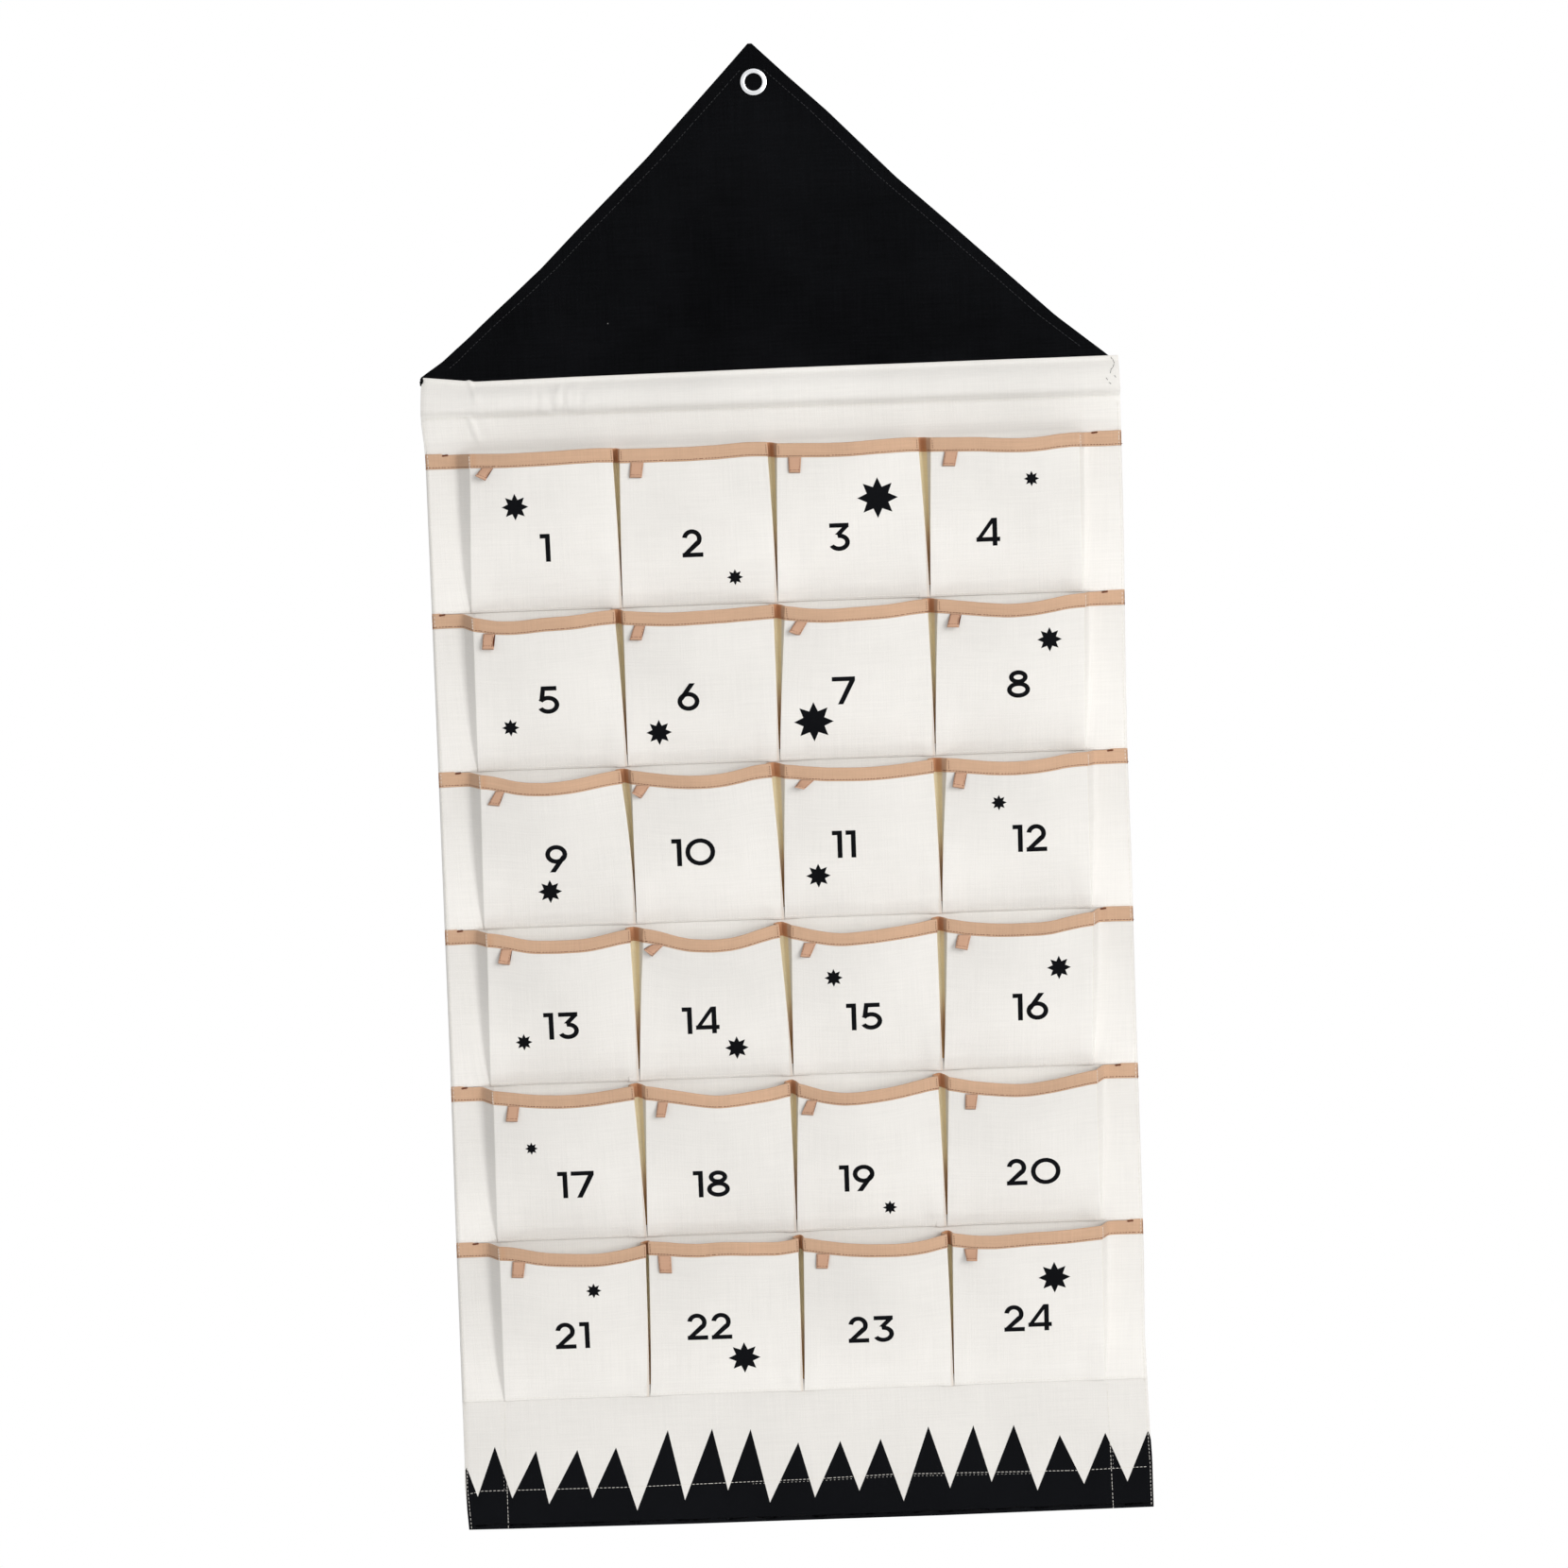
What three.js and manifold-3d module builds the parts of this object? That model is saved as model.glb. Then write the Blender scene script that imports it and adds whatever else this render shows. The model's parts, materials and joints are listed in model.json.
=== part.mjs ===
// A cloth pocket advent calendar in the shape of a tall house, hung by one eyelet.
// Millimetres. The origin is the middle of the eyelet, +Z is up, +X is to the viewer's right
// and the pockets face -Y.
import * as THREE from "three";
import { mergeVertices } from "three/addons/utils/BufferGeometryUtils.js";
import Module from "manifold-3d";

const wasm = await Module();
wasm.setup();

// Cloth, tape and the air left between neighbours.
const panelThickness = 1.0;
const roofThickness = 0.8;
const stripThickness = 0.8;
const tapeThickness = 0.6;
const seatGap = 0.3;
const cutOverrun = 5;
const weldDistance = 0.0001;

// Back panel with its rod tunnel along the top, under a rolled seam and a short flat neck.
const panelWidth = 500;
const panelHeight = 839;
const panelRightOfEyelet = 4.4;
const seamRollRadius = 1.1;
const neckHeight = 4;
const tunnelHeight = 29;
const tunnelCloth = 0.8;
const tunnelEndWall = 1.2;
const sideHemWidth = 28;
const bottomHemHeight = 28;

// Roof, cut from one piece of black cloth, with room at its foot for the cloth to fold.
const eyeletAboveSeam = 203.3;
const roofFootAboveSeam = 1.8;
const hemFootAboveSeam = 3.4;
const apexAboveEyelet = 27.5;
const apexLeftOfEyelet = 2;
const apexBluntWidth = 3;
const roofShortOnRight = 6.8;
const roofHemWidth = 10;
const leftEdgeHollow = 5.6;
const rightEdgeHollow = 3.2;

// Two-piece metal eyelet.
const eyeletHoleRadius = 6.2;
const eyeletBarrelWall = 0.5;
const eyeletFlangeRadius = 9.5;
const eyeletFlangeThickness = 1.3;
const eyeletEdgeRound = 0.6;
const eyeletLipReach = 1.2;
const eyeletLipThickness = 0.6;
const washerThickness = 0.6;

// Round wooden rod in the tunnel.
const rodRadius = 6;
const rodLength = 460;
const rodPlay = 0.3;

// Six pocket strips of four pockets each.
const rowCount = 6;
const pocketsPerRow = 4;
const firstMouthBelowSeam = 55;
const footBandHeight = 97;
const seamAboveNextMouth = 1.5;
const leftMargin = 28.6;
const rightMargin = 30.4;
const mouthDepth = 15;
const mouthBow = 4;
const mouthSag = 10;
const pleatGap = 8;
const closedPleatGap = 1.6;
const endWallInset = 3;
const closedEndWallInset = 0.9;
const endWallFootReach = 4;

// Tape folded over the top edge of each strip, and the small tape loops under it.
const bindingHeight = 10;
const tabWidth = 8.5;
const tabLength = 12.5;
const tabTopThickness = 1.3;
const tabEyeThickness = 3.2;
const tabInset = 12;

// Shares of the sizes above, row by row from the top and pocket by pocket from the left.
const pleatGapShares = [
  [0.66, 0.9, 1.15],
  [0.78, 1.03, 0.93],
  [1.02, 1.3, 1.28],
  [1.23, 1.16, 0.93],
  [1.13, 0.8, 0.98],
  [0.4, 0.5, 0.55],
];
const mouthSagShares = [
  [
    [0.03, 0.11, 0.11, 0, -0.05],
    [0.07, 0.14, 0.15, 0.09, -0.05],
    [0.06, 0.13, 0.13, 0.07, 0],
    [0.04, 0.11, 0.25, 0.32, 0.06],
  ],
  [
    [0.33, 0.47, 0.34, 0.21, -0.05],
    [0.12, 0.26, 0.21, 0.15, 0.03],
    [0.28, 0.41, 0.35, 0.29, 0.03],
    [0.14, 0.41, 0.55, 0.36, -0.03],
  ],
  [
    [0.12, 0.53, 0.61, 0.42, 0.11],
    [0.22, 0.49, 0.57, 0.45, 0],
    [0.19, 0.33, 0.41, 0.36, 0.19],
    [0.17, 0.44, 0.52, 0.4, 0.02],
  ],
  [
    [0.2, 0.67, 0.74, 0.68, 0.3],
    [0.35, 0.87, 1.1, 0.95, 0.36],
    [0.5, 0.93, 0.86, 0.6, 0.29],
    [0.4, 0.65, 0.72, 0.67, 0.22],
  ],
  [
    [0.22, 0.47, 0.53, 0.48, 0.24],
    [0.34, 0.66, 1, 0.81, 0.5],
    [0.6, 1.1, 1.04, 0.78, 0.33],
    [0.5, 0.75, 0.95, 0.69, 0.31],
  ],
  [
    [0.1, 0.55, 0.68, 0.71, 0.41],
    [0.08, 0.33, 0.26, 0.35, 0.35],
    [0.36, 0.6, 0.74, 0.76, 0.5],
    [0.38, 0.46, 0.38, 0.34, 0.25],
  ],
];
const tabInsetShares = [
  [1.08, 0.94, 1.06, 1.13],
  [0.89, 0.7, 1.1, 1.16],
  [1.17, 0.5, 1.01, 1.05],
  [1.18, 0.92, 0.88, 1.05],
  [1.21, 0.88, 0.78, 1.14],
  [1.15, 0.91, 1.23, 0.95],
];
// Each loop's lean in the plane of the pocket, in degrees, with its foot to the left where negative.
const tabLeanDegrees = [
  [-30, -7, -2, -11],
  [-7, -17, -28, -18],
  [-25, -25, -32, -14],
  [-12, -34, -20, -15],
  [-8, -11, -18, -5],
  [-8, 3, -5, 2],
];
const frontWidthShares = [0.1, 0.3, 0.5, 0.7, 0.9];
const depthLevelShares = [0, 0.3, 0.65, 1];
const bellyPower = 1.35;
const seatSampleShares = [0.25, 0.5, 0.75];
const tabWaistShare = 0.55;
const tabWallShare = 0.17;
const tabToeWidthShares = [0.8, 0.5, 0.2];
const tabHeightShares = { hollowTop: 0.42, waist: 0.5, hollowWaist: 0.56, eye: 0.78, toe: 0.95 };

const rowPitch = (panelHeight - firstMouthBelowSeam - footBandHeight) / rowCount;
const seamZ = -eyeletAboveSeam;
const panelLeft = panelRightOfEyelet - panelWidth / 2;
const panelRight = panelRightOfEyelet + panelWidth / 2;
const panelBottom = seamZ - panelHeight;
const stripHeight = rowPitch - seamAboveNextMouth;
const tunnelRadius = rodRadius + rodPlay;
const rodZ = seamZ - tunnelHeight + tunnelCloth + tunnelRadius + tunnelCloth;
const rodRight = panelRight - tunnelEndWall - 2 * seatGap;
const rodLeft = rodRight - rodLength;

const canvas = new THREE.MeshStandardMaterial({ color: 0xece9e3, roughness: 0.95 });
const blackCloth = new THREE.MeshStandardMaterial({ color: 0x101113, roughness: 0.9 });
const tanTape = new THREE.MeshStandardMaterial({ color: 0xd9ab8b, roughness: 0.85 });
const nickel = new THREE.MeshStandardMaterial({ color: 0xc9cbd0, roughness: 0.25, metalness: 1 });
const bareWood = new THREE.MeshStandardMaterial({ color: 0xd8b98a, roughness: 0.7 });

// A closed geometry as a solid that can be joined and cut.
function solidOf(geometry) {
  const bare = geometry.index ? geometry.toNonIndexed() : geometry.clone();
  bare.deleteAttribute("normal");
  bare.deleteAttribute("uv");
  const merged = mergeVertices(bare, weldDistance);
  return new wasm.Manifold(
    new wasm.Mesh({
      numProp: 3,
      vertProperties: merged.attributes.position.array,
      triVerts: new Uint32Array(merged.index.array),
    }),
  );
}

function geometryOf(solid) {
  const mesh = solid.getMesh();
  const geometry = new THREE.BufferGeometry();
  geometry.setAttribute("position", new THREE.BufferAttribute(mesh.vertProperties, 3));
  geometry.setIndex(new THREE.BufferAttribute(mesh.triVerts, 1));
  geometry.computeVertexNormals();
  return geometry;
}

// A plate whose outline is given in X and Z, between two places along Y.
function plate(outline, frontY, backY) {
  const shape = new THREE.Shape(outline.map(([x, z]) => new THREE.Vector2(x, z)));
  const geometry = new THREE.ExtrudeGeometry(shape, { depth: backY - frontY, bevelEnabled: false });
  geometry.rotateX(Math.PI / 2);
  geometry.translate(0, backY, 0);
  return geometry;
}

// A bar whose section is given in Y and Z, drawn along X from one place to another.
function barAlongX(section, hole, leftX, rightX, steps) {
  const shape = new THREE.Shape(section.map(([y, z]) => new THREE.Vector2(y, z)));
  if (hole) {
    shape.holes.push(new THREE.Path(hole.map(([y, z]) => new THREE.Vector2(y, z))));
  }
  const options = { depth: rightX - leftX, steps, bevelEnabled: false };
  const geometry = new THREE.ExtrudeGeometry(shape, options);
  geometry.applyMatrix4(new THREE.Matrix4().set(0, 0, 1, leftX, 1, 0, 0, 0, 0, 1, 0, 0, 0, 0, 0, 1));
  return geometry;
}

// A round bar or ring along Y, from an outline of radius and place along Y.
function turned(profile, sides) {
  const points = profile.map(([radius, y]) => new THREE.Vector2(radius, y));
  return new THREE.LatheGeometry(points, sides);
}

// A closed body from corners and four-sided faces.
function bodyFromQuads(corners, quads) {
  const geometry = new THREE.BufferGeometry();
  const triangles = quads.flatMap(([a, b, c, d]) => [a, b, c, a, c, d]);
  geometry.setAttribute("position", new THREE.Float32BufferAttribute(corners.flat(), 3));
  geometry.setIndex(triangles);
  geometry.computeVertexNormals();
  return geometry;
}

// The tunnel's section: a drop that narrows up to the neck and holds the rod at its foot.
function tunnelDrop(radius, tipHalfWidth, tipZ, sides) {
  const points = [
    [tipHalfWidth, tipZ],
    [-tipHalfWidth, tipZ],
  ];
  const reach = tipZ - rodZ;
  const shoulder = Math.asin(Math.min(1, (radius - tipHalfWidth) / reach));
  for (let i = 0; i <= sides; i += 1) {
    const angle = Math.PI - shoulder + ((Math.PI + 2 * shoulder) * i) / sides;
    points.push([radius * Math.cos(angle), rodZ + radius * Math.sin(angle)]);
  }
  return points;
}

// The rolled seam about the line that the cloth folds on, with the flat neck under it.
function seamRoll(half, sides) {
  const neckAngle = Math.asin(half / seamRollRadius);
  const neckFoot = seamZ - neckHeight - half;
  const points = [
    [-half, neckFoot],
    [half, neckFoot],
  ];
  for (let i = 0; i <= sides; i += 1) {
    const angle = neckAngle - Math.PI / 2 + ((2 * Math.PI - 2 * neckAngle) * i) / sides;
    points.push([seamRollRadius * Math.cos(angle), seamZ + seamRollRadius * Math.sin(angle)]);
  }
  return points;
}

function buildBackPanel() {
  const half = panelThickness / 2;
  const outerRadius = tunnelRadius + tunnelCloth;
  const tunnelSides = 12;
  const outer = tunnelDrop(outerRadius, half, seamZ - neckHeight, tunnelSides);
  const inner = tunnelDrop(tunnelRadius, rodPlay, rodZ + 2 * tunnelRadius, tunnelSides);
  const sleeve = barAlongX(outer, inner, panelLeft, panelRight - tunnelEndWall, 1);
  const endWall = barAlongX(outer, null, panelRight - tunnelEndWall - half, panelRight, 1);
  const roll = barAlongX(seamRoll(half, tunnelSides), null, panelLeft, panelRight, 1);
  const stitchZ = seamZ - tunnelHeight;
  const sheetTop = rodZ - tunnelRadius - tunnelCloth / 2;
  const sheet = plate(
    [
      [panelLeft, panelBottom],
      [panelRight, panelBottom],
      [panelRight, sheetTop],
      [panelLeft, sheetTop],
    ],
    -half,
    half,
  );
  const hemBack = half + panelThickness;
  const hems = [
    [panelLeft, panelLeft + sideHemWidth, panelBottom, stitchZ],
    [panelRight - sideHemWidth, panelRight, panelBottom, stitchZ],
    [panelLeft, panelRight, panelBottom, panelBottom + bottomHemHeight],
  ].map(([left, right, low, high]) =>
    plate(
      [
        [left, low],
        [right, low],
        [right, high],
        [left, high],
      ],
      0,
      hemBack,
    ),
  );
  return [sheet, endWall, roll, ...hems].reduce(
    (joined, piece) => joined.add(solidOf(piece)),
    solidOf(sleeve),
  );
}

// One sloping roof edge from the apex to the eaves, slightly hollow.
function roofEdge(from, to, hollow, inset, steps) {
  const along = new THREE.Vector2(to[0] - from[0], to[1] - from[1]);
  const inward = new THREE.Vector2(along.y, -along.x).normalize();
  if (inward.x * from[0] + inward.y * (from[1] - seamZ) > 0) {
    inward.negate();
  }
  const points = [];
  for (let i = 0; i <= steps; i += 1) {
    const share = i / steps;
    const depth = 4 * share * (1 - share) * hollow + inset;
    points.push([
      from[0] + along.x * share + inward.x * depth,
      from[1] + along.y * share + inward.y * depth,
    ]);
  }
  return points;
}

function buildRoofPanel() {
  const half = roofThickness / 2;
  const edgeSteps = 5;
  const roofRight = panelRight - roofShortOnRight;
  const eavesZ = seamZ + roofFootAboveSeam;
  const apexLeft = [-apexLeftOfEyelet - apexBluntWidth / 2, apexAboveEyelet];
  const apexRight = [-apexLeftOfEyelet + apexBluntWidth / 2, apexAboveEyelet];
  const eavesLeft = [panelLeft, eavesZ];
  const eavesRight = [roofRight, eavesZ];
  const leftEdge = roofEdge(apexLeft, eavesLeft, leftEdgeHollow, 0, edgeSteps);
  const rightEdge = roofEdge(apexRight, eavesRight, rightEdgeHollow, 0, edgeSteps);
  const outline = [...leftEdge, ...rightEdge.reverse()];
  const hemBack = half + roofThickness;
  const leftInner = roofEdge(apexLeft, eavesLeft, leftEdgeHollow, roofHemWidth, edgeSteps);
  const rightInner = roofEdge(apexRight, eavesRight, rightEdgeHollow, roofHemWidth, edgeSteps);
  const bands = solidOf(plate([...leftEdge, ...leftInner.reverse()], 0, hemBack)).add(
    solidOf(plate([...rightEdge, ...rightInner], 0, hemBack)),
  );
  const hems = bands
    .intersect(solidOf(plate(outline, 0, hemBack)))
    .trimByPlane([0, 0, 1], seamZ + hemFootAboveSeam);
  const barrelRadius = eyeletHoleRadius + eyeletBarrelWall + seatGap;
  const holeSides = 24;
  const hole = new THREE.CylinderGeometry(barrelRadius, barrelRadius, 2 * cutOverrun, holeSides);
  const washerSeat = new THREE.CylinderGeometry(
    eyeletFlangeRadius + seatGap,
    eyeletFlangeRadius + seatGap,
    cutOverrun,
    holeSides,
  );
  washerSeat.translate(0, half + cutOverrun / 2, 0);
  return solidOf(plate(outline, -half, half)).add(hems).subtract(solidOf(hole)).subtract(solidOf(washerSeat));
}

const eyeletSides = 24;

function buildEyelet() {
  const half = roofThickness / 2;
  const barrel = eyeletHoleRadius + eyeletBarrelWall;
  const flangeBack = -half - seatGap;
  const flangeFront = flangeBack - eyeletFlangeThickness;
  const lipFront = half + seatGap + washerThickness + seatGap;
  const lipBack = lipFront + eyeletLipThickness;
  return turned(
    [
      [eyeletHoleRadius, lipBack],
      [eyeletHoleRadius, flangeFront + eyeletEdgeRound],
      [eyeletHoleRadius + eyeletEdgeRound, flangeFront],
      [eyeletFlangeRadius - eyeletEdgeRound, flangeFront],
      [eyeletFlangeRadius, flangeFront + eyeletEdgeRound],
      [eyeletFlangeRadius, flangeBack],
      [barrel, flangeBack],
      [barrel, lipFront],
      [barrel + eyeletLipReach, lipFront],
      [barrel + eyeletLipReach, lipBack],
      [eyeletHoleRadius, lipBack],
    ],
    eyeletSides,
  );
}

function buildWasher() {
  const front = roofThickness / 2 + seatGap;
  const inner = eyeletHoleRadius + eyeletBarrelWall + seatGap;
  return turned(
    [
      [inner, front],
      [eyeletFlangeRadius, front],
      [eyeletFlangeRadius, front + washerThickness],
      [inner, front + washerThickness],
      [inner, front],
    ],
    eyeletSides,
  );
}

// Pocket boundaries, where the strip is stitched down to the panel.
function boundaryX(index) {
  return panelLeft + leftMargin + ((panelWidth - leftMargin - rightMargin) * index) / pocketsPerRow;
}

function mouthZ(row) {
  return seamZ - firstMouthBelowSeam - row * rowPitch;
}

// The rearmost place a strip may reach at a level: its tape's back leaf fits behind its top.
function stripBackY(level) {
  return -(panelThickness / 2 + seatGap + (tapeThickness + seatGap) * (1 - level));
}

// The strip's middle line across one row at a level from 0 at the mouth to 1 at its lower seam.
// Each station holds a place and the way that a unit of cloth thickness is laid off to the front.
function stripStations(row, level) {
  const baseY = stripBackY(level) - stripThickness / 2;
  const depth = mouthDepth * (1 - level ** bellyPower);
  const topZ = mouthZ(row) - level * stripHeight;
  const places = [[panelLeft, baseY, topZ]];
  const footReach = endWallFootReach * (1 - level);
  for (let pocket = 0; pocket < pocketsPerRow; pocket += 1) {
    const bow = mouthBow * (1 - level);
    const gapBefore = pocket === 0 ? null : pleatGap * pleatGapShares[row][pocket - 1];
    const gapAfter = pocket === pocketsPerRow - 1 ? null : pleatGap * pleatGapShares[row][pocket];
    const inset = (gap) =>
      gap === null
        ? endWallInset + (closedEndWallInset - endWallInset) * level
        : (gap + (closedPleatGap - gap) * level) / 2;
    const left = boundaryX(pocket) + inset(gapBefore);
    const right = boundaryX(pocket + 1) - inset(gapAfter);
    places.push([boundaryX(pocket) - (pocket === 0 ? footReach : 0), baseY, topZ]);
    places.push([left, baseY - depth, topZ]);
    frontWidthShares.forEach((share, i) => {
      const x = left + (right - left) * share;
      const drop = mouthSag * mouthSagShares[row][pocket][i] * (1 - level);
      places.push([x, baseY - depth - bow * Math.sin(Math.PI * share), topZ - drop]);
    });
    places.push([right, baseY - depth, topZ]);
  }
  places.push([boundaryX(pocketsPerRow) + footReach, baseY, topZ]);
  places.push([panelRight, baseY, topZ]);
  const normals = [];
  for (let i = 0; i + 1 < places.length; i += 1) {
    const run = new THREE.Vector2(places[i + 1][0] - places[i][0], places[i + 1][1] - places[i][1]);
    normals.push(new THREE.Vector2(run.y, -run.x).normalize());
  }
  return places.map((place, i) => {
    const before = normals[Math.max(0, i - 1)];
    const after = normals[Math.min(normals.length - 1, i)];
    const mitre = before.clone().add(after).divideScalar(1 + before.dot(after));
    return { place, mitre };
  });
}

// A point laid off from a station, to the front where positive, and never behind a limit.
function laidOff(station, offset, limitY) {
  const [x, y, z] = station.place;
  return [x + station.mitre.x * offset, Math.min(limitY, y + station.mitre.y * offset), z];
}

function buildStrip(row) {
  const half = stripThickness / 2;
  const corners = [];
  const levels = depthLevelShares.map((level) => stripStations(row, level));
  const across = levels[0].length;
  levels.forEach((stations, j) => {
    const limit = stripBackY(depthLevelShares[j]);
    stations.forEach((station) => corners.push(laidOff(station, half, limit)));
    stations.forEach((station) => corners.push(laidOff(station, -half, limit)));
  });
  const front = (j, i) => 2 * j * across + i;
  const back = (j, i) => (2 * j + 1) * across + i;
  const last = levels.length - 1;
  const quads = [];
  for (let j = 0; j < last; j += 1) {
    for (let i = 0; i + 1 < across; i += 1) {
      quads.push([front(j, i), front(j + 1, i), front(j + 1, i + 1), front(j, i + 1)]);
      quads.push([back(j, i), back(j, i + 1), back(j + 1, i + 1), back(j + 1, i)]);
    }
    quads.push([back(j, 0), back(j + 1, 0), front(j + 1, 0), front(j, 0)]);
    const end = across - 1;
    quads.push([front(j, end), front(j + 1, end), back(j + 1, end), back(j, end)]);
  }
  for (let i = 0; i + 1 < across; i += 1) {
    quads.push([back(0, i), front(0, i), front(0, i + 1), back(0, i + 1)]);
    quads.push([front(last, i), back(last, i), back(last, i + 1), front(last, i + 1)]);
  }
  return bodyFromQuads(corners, quads);
}

// A station of the strip a short way under its mouth, on the straight run to the next level.
function stationBelowMouth(row, i, drop) {
  const upper = stripStations(row, depthLevelShares[0])[i];
  const lower = stripStations(row, depthLevelShares[1])[i];
  const share = drop / (upper.place[2] - lower.place[2]);
  const place = upper.place.map((value, k) => value + (lower.place[k] - value) * share);
  const mitre = upper.mitre.clone().lerp(lower.mitre, share);
  const level = depthLevelShares[1] * share;
  return { place, mitre, level };
}

// Tape folded over the strip's top edge: a deep, narrow U that follows every pleat.
function buildBinding(row) {
  const half = stripThickness / 2;
  const inside = half + seatGap;
  const outside = inside + tapeThickness;
  const foldAbove = seatGap + tapeThickness;
  const stations = stripStations(row, 0);
  const corners = [];
  stations.forEach((top, i) => {
    const foot = stationBelowMouth(row, i, bindingHeight - foldAbove);
    const shift = (point, rise) => [point[0], point[1], point[2] + rise];
    const innerLimit = (level) => stripBackY(level) + seatGap;
    const outerLimit = (level) => innerLimit(level) + tapeThickness;
    corners.push(
      laidOff(foot, outside, outerLimit(foot.level)),
      shift(laidOff(top, outside, outerLimit(0)), foldAbove),
      shift(laidOff(top, -outside, outerLimit(0)), foldAbove),
      laidOff(foot, -outside, outerLimit(foot.level)),
      laidOff(foot, -inside, innerLimit(foot.level)),
      shift(laidOff(top, -inside, innerLimit(0)), seatGap),
      shift(laidOff(top, inside, innerLimit(0)), seatGap),
      laidOff(foot, inside, innerLimit(foot.level)),
    );
  });
  const ring = 8;
  const quads = [];
  for (let i = 0; i + 1 < stations.length; i += 1) {
    for (let k = 0; k < ring; k += 1) {
      const next = (k + 1) % ring;
      quads.push([i * ring + k, (i + 1) * ring + k, (i + 1) * ring + next, i * ring + next]);
    }
  }
  const leaves = [
    [0, 1, 6, 7],
    [1, 2, 5, 6],
    [2, 3, 4, 5],
  ];
  const end = (stations.length - 1) * ring;
  leaves.forEach((leaf) => {
    quads.push(leaf);
    quads.push(leaf.map((k) => end + k).reverse());
  });
  return bodyFromQuads(corners, quads);
}

// A point at the tape's lower edge in front of one pocket, a given way right of its left fold.
function frontPoint(row, pocket, inset) {
  const corner = 2 + pocket * (frontWidthShares.length + 3);
  const drop = bindingHeight - seatGap - tapeThickness;
  const points = [];
  for (let i = 0; i < frontWidthShares.length + 2; i += 1) {
    points.push(laidOff(stationBelowMouth(row, corner + i, drop), stripThickness / 2, 0));
  }
  const x = points[0][0] + inset;
  let i = 0;
  while (i + 2 < points.length && points[i + 1][0] < x) {
    i += 1;
  }
  const share = (x - points[i][0]) / (points[i + 1][0] - points[i][0]);
  return points[i].map((value, k) => value + (points[i + 1][k] - value) * share);
}

// Where a loop is stitched under the tape: its place, and the slope of the tape there.
function tabSeat(row, pocket) {
  const middle = tabInset * tabInsetShares[row][pocket];
  const left = frontPoint(row, pocket, middle - tabWidth / 2);
  const right = frontPoint(row, pocket, middle + tabWidth / 2);
  const slope = (right[2] - left[2]) / (right[0] - left[0]);
  const dips = seatSampleShares.map((share) => {
    const point = frontPoint(row, pocket, middle + (share - 1 / 2) * tabWidth);
    return left[2] + (point[0] - left[0]) * slope - point[2];
  });
  return {
    x: (left[0] + right[0]) / 2,
    y: Math.min(left[1], right[1]),
    z: (left[2] + right[2]) / 2 - Math.max(0, ...dips),
    slope,
  };
}

// A short length of tape folded into a loop, pinched at its stitched top.
function buildTab(leanDegrees) {
  const top = tabTopThickness;
  const eye = tabEyeThickness;
  const wall = tabWallShare * eye;
  const waist = top + (eye - top) * tabWaistShare;
  const [toeFront, toeMiddle, toeBack] = tabToeWidthShares.map((share) => share * eye);
  const below = (share) => -share * tabLength;
  const outer = [
    [0, 0],
    [top, 0],
    [waist, below(tabHeightShares.waist)],
    [eye, below(tabHeightShares.eye)],
    [toeFront, below(tabHeightShares.toe)],
    [toeMiddle, -tabLength],
    [toeBack, below(tabHeightShares.toe)],
    [0, below(tabHeightShares.eye)],
  ];
  const inner = [
    [top / 2, below(tabHeightShares.hollowTop)],
    [waist - wall, below(tabHeightShares.hollowWaist)],
    [eye - wall, below(tabHeightShares.eye)],
    [toeMiddle, wall - tabLength],
    [wall, below(tabHeightShares.eye)],
    [wall, below(tabHeightShares.hollowWaist)],
  ];
  const frontwards = (points) => points.map(([forward, z]) => [top - forward, z]);
  const geometry = barAlongX(frontwards(outer), frontwards(inner), -tabWidth / 2, tabWidth / 2, 1);
  const place = geometry.attributes.position;
  const lean = Math.tan(THREE.MathUtils.degToRad(leanDegrees));
  for (let i = 0; i < place.count; i += 1) {
    place.setX(i, place.getX(i) - place.getZ(i) * lean);
  }
  return geometry;
}

function named(name, geometry, material) {
  const mesh = new THREE.Mesh(geometry, material);
  mesh.name = name;
  return mesh;
}

const calendar = new THREE.Group();
calendar.add(named("roof_panel", geometryOf(buildRoofPanel()), blackCloth));
calendar.add(named("eyelet", buildEyelet(), nickel));
calendar.add(named("eyelet_washer", buildWasher(), nickel));
calendar.add(named("back_panel", geometryOf(buildBackPanel()), canvas));

const rodSides = 20;
const rod = named("hanging_rod", new THREE.CylinderGeometry(rodRadius, rodRadius, rodLength, rodSides), bareWood);
rod.rotation.z = -Math.PI / 2;
rod.position.set((rodLeft + rodRight) / 2, 0, rodZ);
calendar.add(rod);

for (let row = 0; row < rowCount; row += 1) {
  calendar.add(named(`pocket_strip_${row + 1}`, buildStrip(row), canvas));
  calendar.add(named(`binding_${row + 1}`, buildBinding(row), tanTape));
  for (let pocket = 0; pocket < pocketsPerRow; pocket += 1) {
    const number = String(row * pocketsPerRow + pocket + 1).padStart(2, "0");
    const seat = tabSeat(row, pocket);
    const slopeAngle = Math.atan(seat.slope);
    const lean = tabLeanDegrees[row][pocket] - THREE.MathUtils.radToDeg(slopeAngle);
    const tab = named(`tab_${number}`, buildTab(lean), tanTape);
    tab.rotation.y = -slopeAngle;
    tab.position.set(seat.x, seat.y - seatGap - tabTopThickness, seat.z - seatGap);
    calendar.add(tab);
  }
}

export default calendar;
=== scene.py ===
"""A cloth advent calendar in the shape of a tall house: black roof, white panel, 24 pockets.

Metres. The origin is the middle of the eyelet, +Z is up and the pockets face -Y.
Cloth is laid out in millimetres and turned into metres as each sheet is made.
"""

import json
import math
from itertools import accumulate

import bmesh
import bpy
from mathutils import Matrix, Vector, noise
from mathutils.bvhtree import BVHTree


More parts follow.
